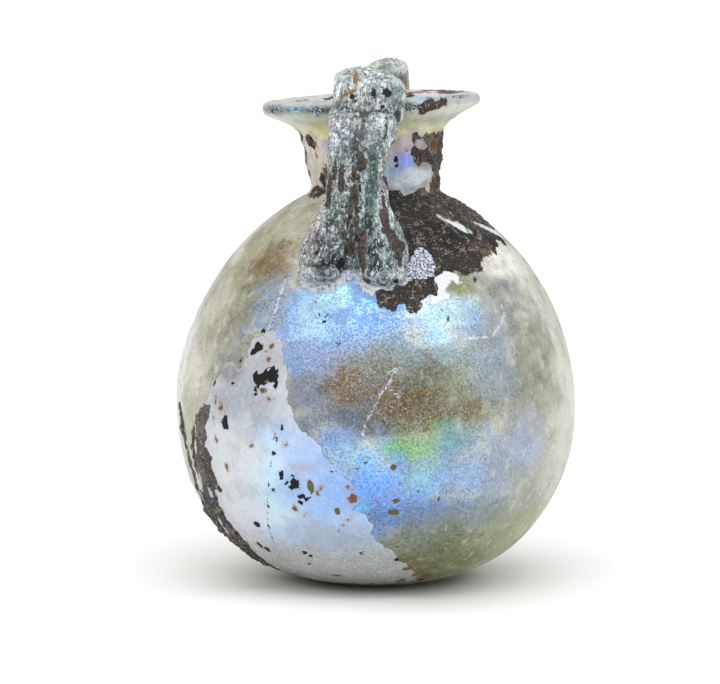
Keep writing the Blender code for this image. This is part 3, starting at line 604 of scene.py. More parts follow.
class Skin:
    """Points of a skin in millimetres with their places, against which patches are measured."""

    def __init__(self, points, along, height, radius):
        self.points = points
        self.along = along
        self.height = height
        self.radius = radius
        self.fields = {}

    def field(self, size, seed, octaves=3):
        """Rough grain on this skin, worked out once for each size and seed."""
        key = (size, seed, octaves)
        if key not in self.fields:
            self.fields[key] = rough_grain(self.points, size, seed, octaves)
        return self.fields[key]

    def across(self, place):
        """Millimetres sideways from a place: round the axis in degrees, or flat where radius is None."""
        if self.radius is None:
            return self.along - place
        turn = (self.along - place + 180.0) % 360.0 - 180.0
        return np.radians(turn) * self.radius

    def patch(self, place, height, half_width, half_height, tilt=0.0, rough=0.25, seed=5, size=3.0):
        """1 in an elliptical patch's middle, 0 at its uneven edge and below 0 outside.

        It is 1 - sqrt((x / half_width)^2 + (y / half_height)^2), turned by tilt degrees, plus grain.
        """
        x, y = self.across(place), self.height - height
        c, s = math.cos(math.radians(tilt)), math.sin(math.radians(tilt))
        x, y = c * x + s * y, c * y - s * x
        return 1.0 - np.hypot(x / half_width, y / half_height) + rough * self.field(size, seed)

    def deepest(self, patches, rough=0.25, seed=5):
        """Millimetres inside the nearest of many patches: each patch times its smaller half size."""
        depths = [self.patch(*p, rough=rough, seed=seed) * min(p[2], p[3]) for p in patches]
        return np.max(depths, axis=0)

    def covered(self, patches):
        """A share: 1 well inside any of the patches, eased to 0 outside them all."""
        return np.max([eased(self.patch(*p), -0.3, 0.7) for p in patches], axis=0)

    def blotted(self, blots, rough, seed):
        """Millimetres inside the nearest of many blots (place, height, radius, stretch)."""
        depths = [r - np.hypot(self.across(a), (self.height - h) / stretch) for a, h, r, stretch in blots]
        return np.max(depths, axis=0) + rough * self.field(1.3, seed, 2)

    def tinted(self, ground, patches, size=7.0, soft=1.0):
        """Linear colour: the linear ground with each patch's colour laid over it with a soft edge."""
        colour = np.tile(np.array(ground, float), (len(self.points), 1))
        for k, (*ellipse, hex_colour, strength) in enumerate(patches):
            nearness = self.patch(*ellipse, rough=0.2, seed=5 + k % 4, size=size)
            share = strength * eased(nearness, -0.5 * soft, 0.6 * soft)
            colour += share[:, None] * (np.array(linear(hex_colour)) - colour)
        return colour

    def depth_inside(self, outline, rough, seed):
        """Millimetres inside a closed outline of (azimuth, height), below 0 outside, edge uneven."""
        middle = sum(p[0] for p in outline) / len(outline)
        x, y = self.across(middle), self.height
        corners = np.array([[math.radians(a - middle) * body_radius(h), h] for a, h in outline])
        nearest = np.full(len(x), 1e9)
        crossings = np.zeros(len(x), int)
        for (x0, y0), (x1, y1) in zip(corners, np.roll(corners, -1, axis=0)):
            nearest = np.minimum(nearest, distance_to_run(x, y, x0, y0, x1, y1))
            meets = x0 + (y - y0) * (x1 - x0) / (y1 - y0 if y1 != y0 else 1e-9)
            crossings += ((y0 > y) != (y1 > y)) & (x < meets)
        inside = np.where(crossings % 2 == 1, nearest, -nearest)
        return inside + rough * self.field(2.6, seed, 4)

    def distance_to_lines(self, lines):
        """Millimetres to the nearest of several runs of (azimuth, height)."""
        nearest = np.full(len(self.points), 1e9)
        for line in lines:
            for (a0, h0), (a1, h1) in zip(line, line[1:]):
                x1 = math.radians(a1 - a0) * float(body_radius(h0))
                gap = distance_to_run(self.across(a0), self.height, 0.0, h0, x1, h1)
                nearest = np.minimum(nearest, gap)
        return nearest


def distance_to_run(x, y, x0, y0, x1, y1):
    """The distance from points (x, y) to the straight run between two points."""
    dx, dy = x1 - x0, y1 - y0
    t = np.clip(((x - x0) * dx + (y - y0) * dy) / (dx * dx + dy * dy + 1e-9), 0.0, 1.0)
    return np.hypot(x - x0 - t * dx, y - y0 - t * dy)


def add(tree, kind, settings=None, inputs=None):
    """Adds a node, gives it its settings, and sets or links its inputs."""
    node = tree.nodes.new(kind)
    for name, value in (settings or {}).items():
        setattr(node, name, value)
    for name, value in (inputs or {}).items():
        if isinstance(value, bpy.types.NodeSocket):
            tree.links.new(value, node.inputs[name])
        else:
            node.inputs[name].default_value = value
    return node


# ---------------------------------------------------------------------------------------------
# The vessel
# ---------------------------------------------------------------------------------------------


def quarter(radius, height, power, start, end, count):
    """Points (radius, height) of a superellipse quarter between two angles from its equator."""
    angles = np.linspace(start, end, count)
    across = radius * np.clip(np.cos(angles), 0.0, 1.0) ** (2.0 / power)
    return np.column_stack([across, height * np.sin(angles) ** (2.0 / power)])


def outer_line():
    """The outside (radius, height) from the middle of the underside to the top of the lip."""
    inward = np.linspace(0.0, 1.0, 30)
    dimple = np.column_stack([DIMPLE_RADIUS * inward, DIMPLE_DEPTH * np.cos(inward * math.pi / 2) ** 2])
    flat_angle = math.asin((WIDEST_HEIGHT / BELLY_DROP) ** (BELLY_POWER / 2))
    belly = quarter(BODY_RADIUS, -BELLY_DROP, BELLY_POWER, flat_angle, 0.0, 300)
    neck_angle = math.acos((NECK_FOOT_RADIUS / BODY_RADIUS) ** (SHOULDER_POWER / 2))
    shoulder = quarter(BODY_RADIUS, SHOULDER_RISE, SHOULDER_POWER, 0.0, neck_angle, 300)[1:]
    body = np.vstack([belly, shoulder]) + [0.0, WIDEST_HEIGHT]
    body = body[body[:, 1] < NECK_FOOT_HEIGHT - 1.0]
    foot = np.array([NECK_FOOT_RADIUS, NECK_FOOT_HEIGHT - 0.3])
    fillet = bezier(body[-1], body[-1] * 0.4 + foot * 0.6, foot, [10.5, NECK_FOOT_HEIGHT + 0.8], 12)
    neck = np.linspace(fillet[-1], [NECK_TOP_RADIUS, NECK_TOP_HEIGHT], 30)[1:]
    lip_foot = [RIM_RADIUS - LIP_RADIUS * 0.76, RIM_HEIGHT - 2 * LIP_RADIUS]
    flare = bezier(neck[-1], *FLARE_BENDS, lip_foot, 60)[1:]
    angles = np.radians(np.linspace(-50.0, 90.0, 40))
    centre = np.array([RIM_RADIUS - LIP_RADIUS, RIM_HEIGHT - LIP_RADIUS])
    lip = centre + LIP_RADIUS * np.column_stack([np.cos(angles), np.sin(angles)])
    return np.vstack([dimple, body, fillet[1:], neck, flare, lip])


def inner_lines():
    """The inside (radius, height): the mouth's funnel, then the bore and hollow to the floor's middle."""
    lip_top = [RIM_RADIUS - LIP_RADIUS, RIM_HEIGHT]
    funnel = bezier(lip_top, *FUNNEL_BENDS, [BORE_TOP_RADIUS, BORE_TOP_HEIGHT], 60)
    radius = BODY_RADIUS - BODY_WALL
    bore_angle = math.acos(((BORE_FOOT_RADIUS + 0.3) / radius) ** (SHOULDER_POWER / 2))
    shoulder = quarter(radius, SHOULDER_RISE - SHOULDER_WALL, SHOULDER_POWER, bore_angle, 0.0, 200)
    belly = quarter(radius, BASE_WALL - WIDEST_HEIGHT, BELLY_POWER, 0.0, math.pi / 2, 200)[1:]
    belly[-1, 0] = 0.0
    body = np.vstack([shoulder, belly]) + [0.0, WIDEST_HEIGHT]
    return funnel, np.vstack([[funnel[-1], [BORE_FOOT_RADIUS, NECK_FOOT_HEIGHT]], body])


def grid_faces(rows, columns):
    """Quads between the rows of a closed grid and fans from its two end points, facing outwards."""
    around = np.arange(columns)
    beyond = (around + 1) % columns
    last = (rows - 1) * columns
    start, end = np.full(columns, rows * columns), np.full(columns, rows * columns + 1)
    first_fan = np.stack([start, beyond, around], axis=1)
    last_fan = np.stack([last + around, last + beyond, end], axis=1)
    return ring_quads(rows, columns), np.vstack([first_fan, last_fan])


def vessel_skin(spacing, columns):
    """The vessel's grid: its profile turned about Z, with the columns closer together in front.

    A point is (r sin a, -r cos a, z) for azimuth a = t - FRONT_CROWDING sin t, t even round the circle.
    Returns the skin, its normals, its faces and which rows belong to the closed-off hollow.
    """
    outer = respaced(outer_line(), spacing)
    funnel, hollow = inner_lines()
    funnel = respaced(funnel, spacing)[1:]
    hollow = respaced(hollow, HOLLOW_SPACING)[1:]
    line = np.vstack([outer, funnel, hollow])
    run = np.concatenate([[0.0], np.cumsum(np.linalg.norm(np.diff(line, axis=0), axis=1))])
    lip = run[len(outer) - 1]
    place = np.where(run > lip, RIM_HEIGHT + run - lip, line[:, 1])
    place = np.where((run < lip / 3) & (line[:, 0] < FOOT_RADIUS), line[:, 0] - FOOT_RADIUS, place)
    tangent = np.gradient(line, axis=0)
    normal = np.column_stack([tangent[:, 1], -tangent[:, 0]])
    normal /= np.linalg.norm(normal, axis=1)[:, None]
    turn = np.linspace(-math.pi, math.pi, columns, endpoint=False)
    azimuth = turn - FRONT_CROWDING * np.sin(turn)
    sine, cosine = np.sin(azimuth), np.cos(azimuth)
    grids = []
    for rows in (line[1:-1], normal[1:-1]):
        x, y = np.outer(rows[:, 0], sine), np.outer(-rows[:, 0], cosine)
        grids.append(np.stack([x, y, np.repeat(rows[:, 1:], columns, axis=1)], axis=2).reshape(-1, 3))
    points = np.vstack([grids[0], [[0, 0, line[0, 1]], [0, 0, line[-1, 1]]]])
    normals = np.vstack([grids[1], [[0, 0, -1], [0, 0, 1]]])
    azimuths = np.concatenate([np.degrees(np.tile(azimuth, len(line) - 2)), [0, 0]])
    heights = np.concatenate([np.repeat(place[1:-1], columns), [place[0], place[-1]]])
    shown = len(outer) + len(funnel) - 2
    is_shown = np.concatenate([np.repeat(np.arange(len(line) - 2) < shown, columns), [True, False]])
    radius = np.maximum(np.hypot(points[:, 0], points[:, 1]), 1.0)
    return Skin(points, azimuths, heights, radius), normals, grid_faces(len(line) - 2, columns), is_shown


def toe_gap(points):
    """How far points lie from the nearest toe of a handle, as a share of its size: 1 is on its skin."""
    gaps = []
    for *middle, wide, high in TOES:
        gaps.append(np.sqrt(((points - middle) ** 2 / np.array([wide, wide, high]) ** 2).sum(1)))
    return np.min(gaps, axis=0)


def vessel_layers(skin, look):
    """What each vertex of the vessel has of every layer, as named fields for the material.

    A field is a colour, a share from 0 to 1, a depth in millimetres inside a layer's edge (below 0
    outside it) or a gap in millimetres to the nearest line.
    """
    chalk = [skin.depth_inside(line, CHALK_FRAY[k], 21 + k) for k, line in enumerate(CHALK)]
    crust = [skin.depth_inside(line, 0.3, 31 + k) for k, line in enumerate(CRUST)]
    crust = np.maximum(np.max(crust, axis=0), skin.deepest(CRUST_PATCHES, 0.2, 37))
    sheen, gilding, lip = (skin.covered(patches) for patches in (SHEEN, GILDING, LIP_FLECKS))
    neck = eased(skin.height, *NECK_ONSET)
    return {
        # The film's colour, in part painted reflections, highlights and shade
        "film_and_light_tint": skin.tinted(look.film_colour, FILM_AND_PAINTED_LIGHT),
        "chalk_tint": skin.tinted(look.chalk_colour, CHALK_TINTS),
        "film_sheen": sheen * (1 - neck),
        # Strength of the real flecks on the lip, and of the glints and crease shade painted on the film's
        # wrinkles
        "fleck_and_glint_share": np.maximum((0.26 + 0.18 * gilding) * sheen * (1 - neck), lip),
        "gilding": gilding,
        "chalk_depth": np.max(chalk, axis=0),
        "crust_depth": np.minimum(crust, -skin.deepest(CRUST_HOLES, 0.12, 39)),
        "crust_tint": skin.tinted(look.crust_colour, CRUST_TINTS),
        "bloom_depth": skin.deepest(BLOOM, 0.22, 43),
        "granular_depth": skin.deepest(GRANULAR, 0.12, 42),
        "collar_depth": 3.9 * (1.24 - toe_gap(skin.points)) + 0.35 * skin.field(2.0, 41),
        "black_depth": skin.blotted(BLACK_BLOTS, 0.12, 51),
        "rust_depth": skin.blotted(RUST_BLOTS, 0.1, 53),
        "chip_depth": skin.blotted(OLIVE_CHIPS, 0.06, 55),
        "turquoise_depth": skin.blotted(TURQUOISE, 0.1, 57),
        "scratch_gap": skin.distance_to_lines(SCRATCHES) + 0.06 * skin.field(1.3, 51, 2),
        "crack_gap": skin.distance_to_lines(DOTTED),
        "neck_share": neck,
        "clear_share": eased(skin.height, *CLEAR_ONSET) * (1 - eased(skin.height, *CLEAR_END)),
        "sandy_share": 1 - eased(skin.height, *SANDY_END),
    }


def vessel_relief(skin, layers, look):
    """Millimetres that the skin stands proud: its blown unevenness, then the steps of its layers.

    A run of glass adds rise * exp(-(gap / width)^2). All of it fades out towards the flat foot.
    """
    points = skin.points
    relief = look.unevenness / MM * grain(points, size=28.0, seed=3)
    relief += look.chalk_thickness / MM * eased(layers["chalk_depth"], -0.25, 0.25)
    lumps = 0.6 + 0.35 * skin.field(size=2.2, seed=61, octaves=3)
    relief += look.crust_thickness / MM * lumps * eased(layers["crust_depth"], -0.1, 0.9)
    crystals = 1 + 0.5 * skin.field(size=1.6, seed=63, octaves=2)
    relief += BLOOM_RISE * eased(layers["bloom_depth"], -0.1, 0.5) * crystals
    relief -= CHIP_DEPTH * eased(layers["chip_depth"], -0.1, 0.2)
    rough = layers["neck_share"] * (0.12 - 0.09 * eased(skin.height, 75.5, 77.5))
    relief += rough * skin.field(size=4.0, seed=65, octaves=3)
    for line in SLUMPS:
        relief += SLUMP_RISE * np.exp(-((skin.distance_to_lines([line]) / SLUMP_WIDTH) ** 2))
    relief += TOE_COLLAR_RISE * (1 - eased(toe_gap(points), 1.05, 1.45))
    return relief * eased(points[:, 2], 0.5, 5.0)


# ---------------------------------------------------------------------------------------------
# The handles
# ---------------------------------------------------------------------------------------------


def rib_stations(side, toe_across, toe_half_width, toe_reach, crest_across):
    """One rib of a strap, from its toe on the shoulder up to the crest under the rim.

    A station is (out from the axis, up, across, half width, half thickness), in millimetres.
    """
    return [
        (25.0 - 0.4 * toe_reach, 55.4 - toe_reach, toe_across, toe_half_width * 0.93, 3.1),
        (24.4, 57.2, toe_across * 0.97, toe_half_width, 3.3),
        (23.6, 60.6, side * 4.0, 3.2, 2.9),
        (22.8, 64.2, side * 2.85, 2.55, 2.5),
        (22.2, 68.2, side * 2.35, 2.4, 2.2),
        (21.6, 72.6, side * 2.35, 2.4, 2.1),
        (20.7, 76.0, crest_across * 0.9, 2.6, 2.1),
        (18.8, 77.9, crest_across, 2.8, 2.0),
        (16.6, 78.0, crest_across, 2.8, 1.8),
    ]


def web_stations():
    """The thinner glass between the two ribs."""
    return [
        (22.4, 55.6, -0.8, 2.6, 2.8),
        (23.0, 59.6, -0.5, 3.0, 2.7),
        (22.7, 64.0, 0.0, 2.5, 2.2),
        (22.1, 68.2, 0.0, 2.4, 1.8),
        (21.5, 72.6, 0.0, 2.4, 1.7),
        (20.5, 76.0, 0.0, 2.4, 1.8),
        (18.7, 77.8, 0.0, 2.4, 1.9),
        (16.6, 78.0, 0.0, 2.4, 1.7),
    ]


def fold_stations(shift, half_width, top):
    """The end of the trail: pressed on the neck, drawn round the rim's edge and doubled above it."""
    return [
        (12.4, 73.2, shift * 0.5, 3.2, 1.8),
        (15.6, 75.4, shift * 0.8, 4.4, 2.1),
        (18.2, 78.0, shift, half_width - 0.4, 2.5),
        (18.3, 80.8, shift, half_width, 2.9),
        (17.9, top - 2.6, shift, half_width, 2.9),
    ]


def tail_stations(side, low):
    """The flattened tail of the fold that runs down behind the strap's edge on one side."""
    return [
        (17.2, 80.6, side * 3.6, 1.9, 1.9),
        (17.9, 77.6, side * 4.1, 1.7, 1.7),
        (18.6, 75.4, side * 4.3, 1.3, 1.3),
        (19.6, low, side * 4.1, 0.9, 0.9),
    ]


def rounded(line, step, scale):
    """Puts the shrinking rings of a round end before a path's first one.

    A ring of size s stands sqrt(1 - s^2) half thicknesses beyond the end.
    """
    sizes = np.sin(np.linspace(0.12, 1.0, ROUND_RINGS + 1)[:-1] * math.pi / 2)
    extra = np.tile(line[0], (ROUND_RINGS, 1))
    extra[:, :2] -= np.outer(line[0, 4] * np.sqrt(1 - sizes**2), step[0])
    steps = np.vstack([np.tile(step[0], (ROUND_RINGS, 1)), step])
    return np.vstack([extra, line]), steps, np.concatenate([sizes, scale])


def swept(stations, rings, sides, round_end=False, slant=0.0):
    """A superellipse section carried along a path that lies upright in the handle's middle plane.

    A ring is path + cos^p(a) half_width across + sin^p(a) half_thickness along the path's normal,
    with p = 2 / SECTION_POWER. The path starts in a round end, and may end in one. What stands above
    the rim drops by slant for each unit sideways. Returns points in millimetres (x across, -y
    outwards) and the faces, the two end caps included.
    """
    line = smooth_line(stations, rings)
    step = np.gradient(line[:, :2], axis=0)
    step /= np.linalg.norm(step, axis=1)[:, None]
    line, step, scale = rounded(line, step, np.ones(rings))
    if round_end:
        line, step, scale = rounded(line[::-1], -step[::-1], scale[::-1])
        line, step, scale = line[::-1], -step[::-1], scale[::-1]
    angles = np.linspace(0.0, 2 * math.pi, sides, endpoint=False)
    wave = np.array([np.cos(angles), np.sin(angles)])
    ring_u, ring_n = np.sign(wave) * np.abs(wave) ** (2 / SECTION_POWER)
    x = line[:, 2:3] + np.outer(line[:, 3] * scale, ring_u)
    thick = np.outer(line[:, 4] * scale, ring_n)
    out = line[:, :1] + thick * step[:, 1:]
    up = line[:, 1:2] - thick * step[:, :1]
    up = up - slant * x * eased(up, RIM_HEIGHT - 1.0, RIM_HEIGHT + 3.0)
    points = np.stack([x, -out, up], axis=2).reshape(-1, 3)
    first, last = np.arange(sides)[::-1], np.arange(sides) + (len(line) - 1) * sides
    return points, [*ring_quads(len(line), sides).tolist(), first.tolist(), last.tolist()]


def fused(name, tubes, voxel, smoothing):
    """Closed tubes joined into one skin: a voxel remesh of them all, then a light smoothing."""
    points, faces, start = [], [], 0
    for tube_points, tube_faces in tubes:
        points.append(tube_points)
        faces += [[start + k for k in face] for face in tube_faces]
        start += len(tube_points)
    mesh = bpy.data.meshes.new(name)
    mesh.from_pydata(np.vstack(points) * MM, [], faces)
    source = bpy.data.objects.new(name, mesh)
    bpy.context.scene.collection.objects.link(source)
    remesh = source.modifiers.new("fuse", "REMESH")
    remesh.mode, remesh.voxel_size = "VOXEL", voxel
    smooth = source.modifiers.new("soften", "SMOOTH")
    smooth.factor, smooth.iterations = 0.5, smoothing
    evaluated = source.evaluated_get(bpy.context.evaluated_depsgraph_get())
    skin = bpy.data.meshes.new_from_object(evaluated)
    bpy.data.objects.remove(source)
    bpy.data.meshes.remove(mesh)
    skin.name = name
    skin.shade_smooth()
    return skin


def handle_layers(skin, tints, look, **marks):
    """What each vertex of a handle has of every layer, measured flat from its own front."""
    layers = {}
    for k, (name, patches) in enumerate(marks.items()):
        layers[name + "_depth"] = skin.deepest(patches, 0.22, 71 + k)
    layers["trail_tint"] = skin.tinted(look.glass_colour, tints, 2.4, 0.6)
    return layers


def standing_proud(mesh, points, normals, rounds):
    """Millimetres that each vertex stands out of its surroundings, and below 0 in a hollow.

    The surroundings are the points averaged with their neighbours along the edges, round after round.
    """
    edges = np.empty(len(mesh.edges) * 2, np.int32)
    mesh.edges.foreach_get("vertices", edges)
    ends = edges.reshape(-1, 2)
    here, there = np.concatenate([ends[:, 0], ends[:, 1]]), np.concatenate([ends[:, 1], ends[:, 0]])
    count = np.bincount(here, minlength=len(points))[:, None]
    smooth = points
    for _ in range(rounds):
        total = np.column_stack([np.bincount(here, smooth[there, k], len(points)) for k in range(3)])
        smooth = 0.5 * smooth + 0.5 * total / count
    return ((points - smooth) * normals).sum(1)


def held_outside(points):
    """Moves points that are too deep in the body out to HELD_SHARE of its superellipse.

    A point's depth is (|r / radius|^p + |h / rise|^p)^(1 / p) about the middle of the widest ring.
    """
    share = (np.hypot(points[:, 0], points[:, 1]) / BODY_RADIUS) ** SHOULDER_POWER
    share += (np.abs(points[:, 2] - WIDEST_HEIGHT) / SHOULDER_RISE) ** SHOULDER_POWER
    depth = share ** (1 / SHOULDER_POWER)
    too_deep = (points[:, 2] < SHOULDER_TOP) & (depth < HELD_SHARE)
    held = np.where(too_deep, HELD_SHARE / depth, 1.0)
    points[:, :2] *= held[:, None]
    points[:, 2] = WIDEST_HEIGHT + (points[:, 2] - WIDEST_HEIGHT) * held
    return points


def handle_piece(name, node, look, turn, ribs, fold, slant, tail, **layers):
    """One handle: fold, two ribs, web and tail fused, drawn lines and pits raised on it, then placed."""
    tubes = [
        swept(fold_stations(*fold), rings=40, sides=48, round_end=True, slant=slant),
        swept(rib_stations(-1, *ribs[0]), rings=90, sides=40),
        swept(rib_stations(1, *ribs[1]), rings=90, sides=40),
        swept(web_stations(), rings=60, sides=32),
        swept(tail_stations(*tail), rings=30, sides=24, round_end=True),
    ]
    mesh = fused(name, tubes, look.voxel, smoothing=5)
    points, normals = (np.empty(len(mesh.vertices) * 3, np.float32) for _ in range(2))
    mesh.vertices.foreach_get("co", points)
    mesh.vertices.foreach_get("normal", normals)
    points, normals = points.reshape(-1, 3).astype(float) / MM, normals.reshape(-1, 3).astype(float)
    drawn = rough_grain(points * DRAWN_OUT, size=1.5, seed=81, octaves=2)
    pits = np.clip(rough_grain(points, size=1.1, seed=83, octaves=2) - 1.1, 0.0, 1.5)
    waves = grain(points, size=3.0, seed=85)
    relief = look.drawn_lines / MM * drawn + 0.05 * waves - PIT_DEPTH * pits
    layers = handle_layers(Skin(points, points[:, 0], points[:, 2], None), look=look, **layers)
    flank = eased(np.abs(normals[:, 0]), 0.7, 0.95) * eased(grain(points, size=5.0, seed=87), -0.6, 0.3)
    layers["iron_depth"] -= 1.5 * flank
    layers["proud"] = standing_proud(mesh, points, normals, rounds=24)
    relief += IRON_RISE * eased(layers["iron_depth"], -0.1, 0.4)
    points = held_outside(points + normals * relief[:, None])
    points[:, :2] *= math.cos(turn)
    mesh.vertices.foreach_set("co", (points * MM).astype(np.float32).ravel())
    mesh.update()
    piece = bpy.data.objects.new(name, mesh)
    bpy.context.scene.collection.objects.link(piece)
    for key, values in layers.items():
        store(piece, key, values)
    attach(piece, "root")
    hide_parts(node)
    return piece


# ---------------------------------------------------------------------------------------------
# Materials
# ---------------------------------------------------------------------------------------------

# The fields that the vessel's material reads as they are, how metallic the film and how clear the
# flare is at most, and the refractive index of natron glass
BLOWN_FIELDS = [
    "film_and_light_tint", "chalk_tint", "crust_tint", "film_sheen", "fleck_and_glint_share", "gilding", "scratch_gap",
    "crack_gap", "clear_share", "sandy_share",
]
MOST_METALLIC = 0.6
MOST_CLEAR = 0.22
GLASS_IOR = 1.5


def rgba(hex_colour):
    """An sRGB hex colour as a linear colour socket's value."""
    return (*linear(hex_colour), 1.0)


def new_material(name, sizes):
    """An empty node material, and its noise patterns by name.

    A pattern is (millimetres, detail, roughness), and a fourth value stretches it along Z. Object
    coordinates are in metres, so a feature of so many millimetres has scale 1000 / millimetres.
    """
    material = bpy.data.materials.new(name)
    material.use_nodes = True
    tree = material.node_tree
    tree.nodes.clear()
    place = add(tree, "ShaderNodeTexCoord").outputs["Object"]
    patterns = {}
    for key, (size, detail, roughness, *stretch) in sizes.items():
        squeeze = {"Vector": place, "Scale": (1.0, 1.0, stretch[0] if stretch else 1.0)}
        vector = add(tree, "ShaderNodeMapping", None, squeeze).outputs[0] if stretch else place
        settings = {"Vector": vector, "Scale": 1 / (size * MM), "Detail": detail, "Roughness": roughness}
        patterns[key] = add(tree, "ShaderNodeTexNoise", None, settings).outputs["Fac"]
    return material, tree, patterns


def stepped(tree, rows):
    """Shares by name from rows of (pattern, low, high, start, end): smooth steps of the patterns."""
    shares = {}
    for name, (pattern, low, high, start, end) in rows.items():
        step = {"Value": pattern, "From Min": low, "From Max": high, "To Min": start, "To Max": end}
        node = add(tree, "ShaderNodeMapRange", {"interpolation_type": "SMOOTHSTEP"}, step)
        shares[name] = node.outputs[0]
    return shares


def frayed(tree, rows):
    """Shares by name from rows of (stored layer, pattern, reach, softness, spread), in millimetres.

    A share is a smooth step of depth + spread + (pattern - 0.5) * reach from -softness to +softness,
    so the pattern frays the layer's edge, and spread moves that edge outwards.
    """
    edges = {}
    for name, (stored, pattern, reach, softness, spread) in rows.items():
        depth = add(tree, "ShaderNodeAttribute", {"attribute_name": stored + "_depth"}).outputs["Fac"]
        terms = {0: pattern, 1: reach, 2: depth}
        edge = add(tree, "ShaderNodeMath", {"operation": "MULTIPLY_ADD"}, terms).outputs[0]
        middle = 0.5 * reach - spread
        edges[name] = (edge, middle - softness, middle + softness, 0.0, 1.0)
    return stepped(tree, edges)


def layered(tree, ground, shares, layers):
    """A colour or a number with others (values by name) laid over it in turn, each by its share."""
    is_number = isinstance(next(iter(layers.values())), float)
    kind, under, top, out = ("FLOAT", 2, 3, 0) if is_number else ("RGBA", 6, 7, 2)
    for name, value in layers.items():
        value = rgba(value) if isinstance(value, str) else value
        terms = {0: shares[name], under: ground, top: value}
        ground = add(tree, "ShaderNodeMix", {"data_type": kind}, terms).outputs[out]
    return ground


def embossed(tree, terms):
    """The surface's slope from the sum of patterns, each times its height in millimetres."""
    height = 0.0
    for pattern, amount in terms:
        rise = {0: pattern, 1: amount, 2: height}
        height = add(tree, "ShaderNodeMath", {"operation": "MULTIPLY_ADD"}, rise).outputs[0]
    return add(tree, "ShaderNodeBump", None, {"Height": height, "Distance": MM, "Strength": 1.0}).outputs[0]


def shrinkage_cracks(tree):
    """How far a point is from the edges of cells 3.4 mm wide, bent out of line by a 1.5 mm swirl."""
    place = add(tree, "ShaderNodeTexCoord").outputs["Object"]
    swirl = {"Vector": place, "Scale": 1 / (1.5 * MM), "Detail": 3.0}
    swirl = add(tree, "ShaderNodeTexNoise", None, swirl).outputs["Color"]
    bent = {0: swirl, 1: (2.0 * MM,) * 3, 2: place}
    bent = add(tree, "ShaderNodeVectorMath", {"operation": "MULTIPLY_ADD"}, bent).outputs[0]
    cells = {"Vector": bent, "Scale": 1 / (3.4 * MM)}
    return add(tree, "ShaderNodeTexVoronoi", {"feature": "DISTANCE_TO_EDGE"}, cells).outputs["Distance"]


def blown_layers(tree, pattern):
    """Where each weathering layer of the vessel lies, with its edge frayed by a pattern."""
    fine, mottle = pattern["fine"], pattern["mottle"]
    return frayed(tree, {
        "rim": ("chalk", mottle, 0.9, 0.06, 0.12),
        "chalk": ("chalk", mottle, 0.9, 0.05, 0.0),
        "bloom": ("bloom", fine, 0.9, 0.12, 0.0),
        "collar": ("collar", fine, 1.2, 0.2, 0.0),
        "outline": ("granular", fine, 0.6, 0.06, 0.16),
        "granular": ("granular", fine, 0.6, 0.06, 0.0),
        "crust": ("crust", mottle, 1.5, 0.08, 0.0),
        "black": ("black", fine, 1.2, 0.05, 0.0),
        "seep": ("rust", fine, 1.5, 0.35, 0.3),
        "rust": ("rust", fine, 1.2, 0.16, 0.0),
        "chip": ("chip", fine, 0.5, 0.05, 0.0),
        "turquoise": ("turquoise", fine, 0.8, 0.08, 0.0),
    })


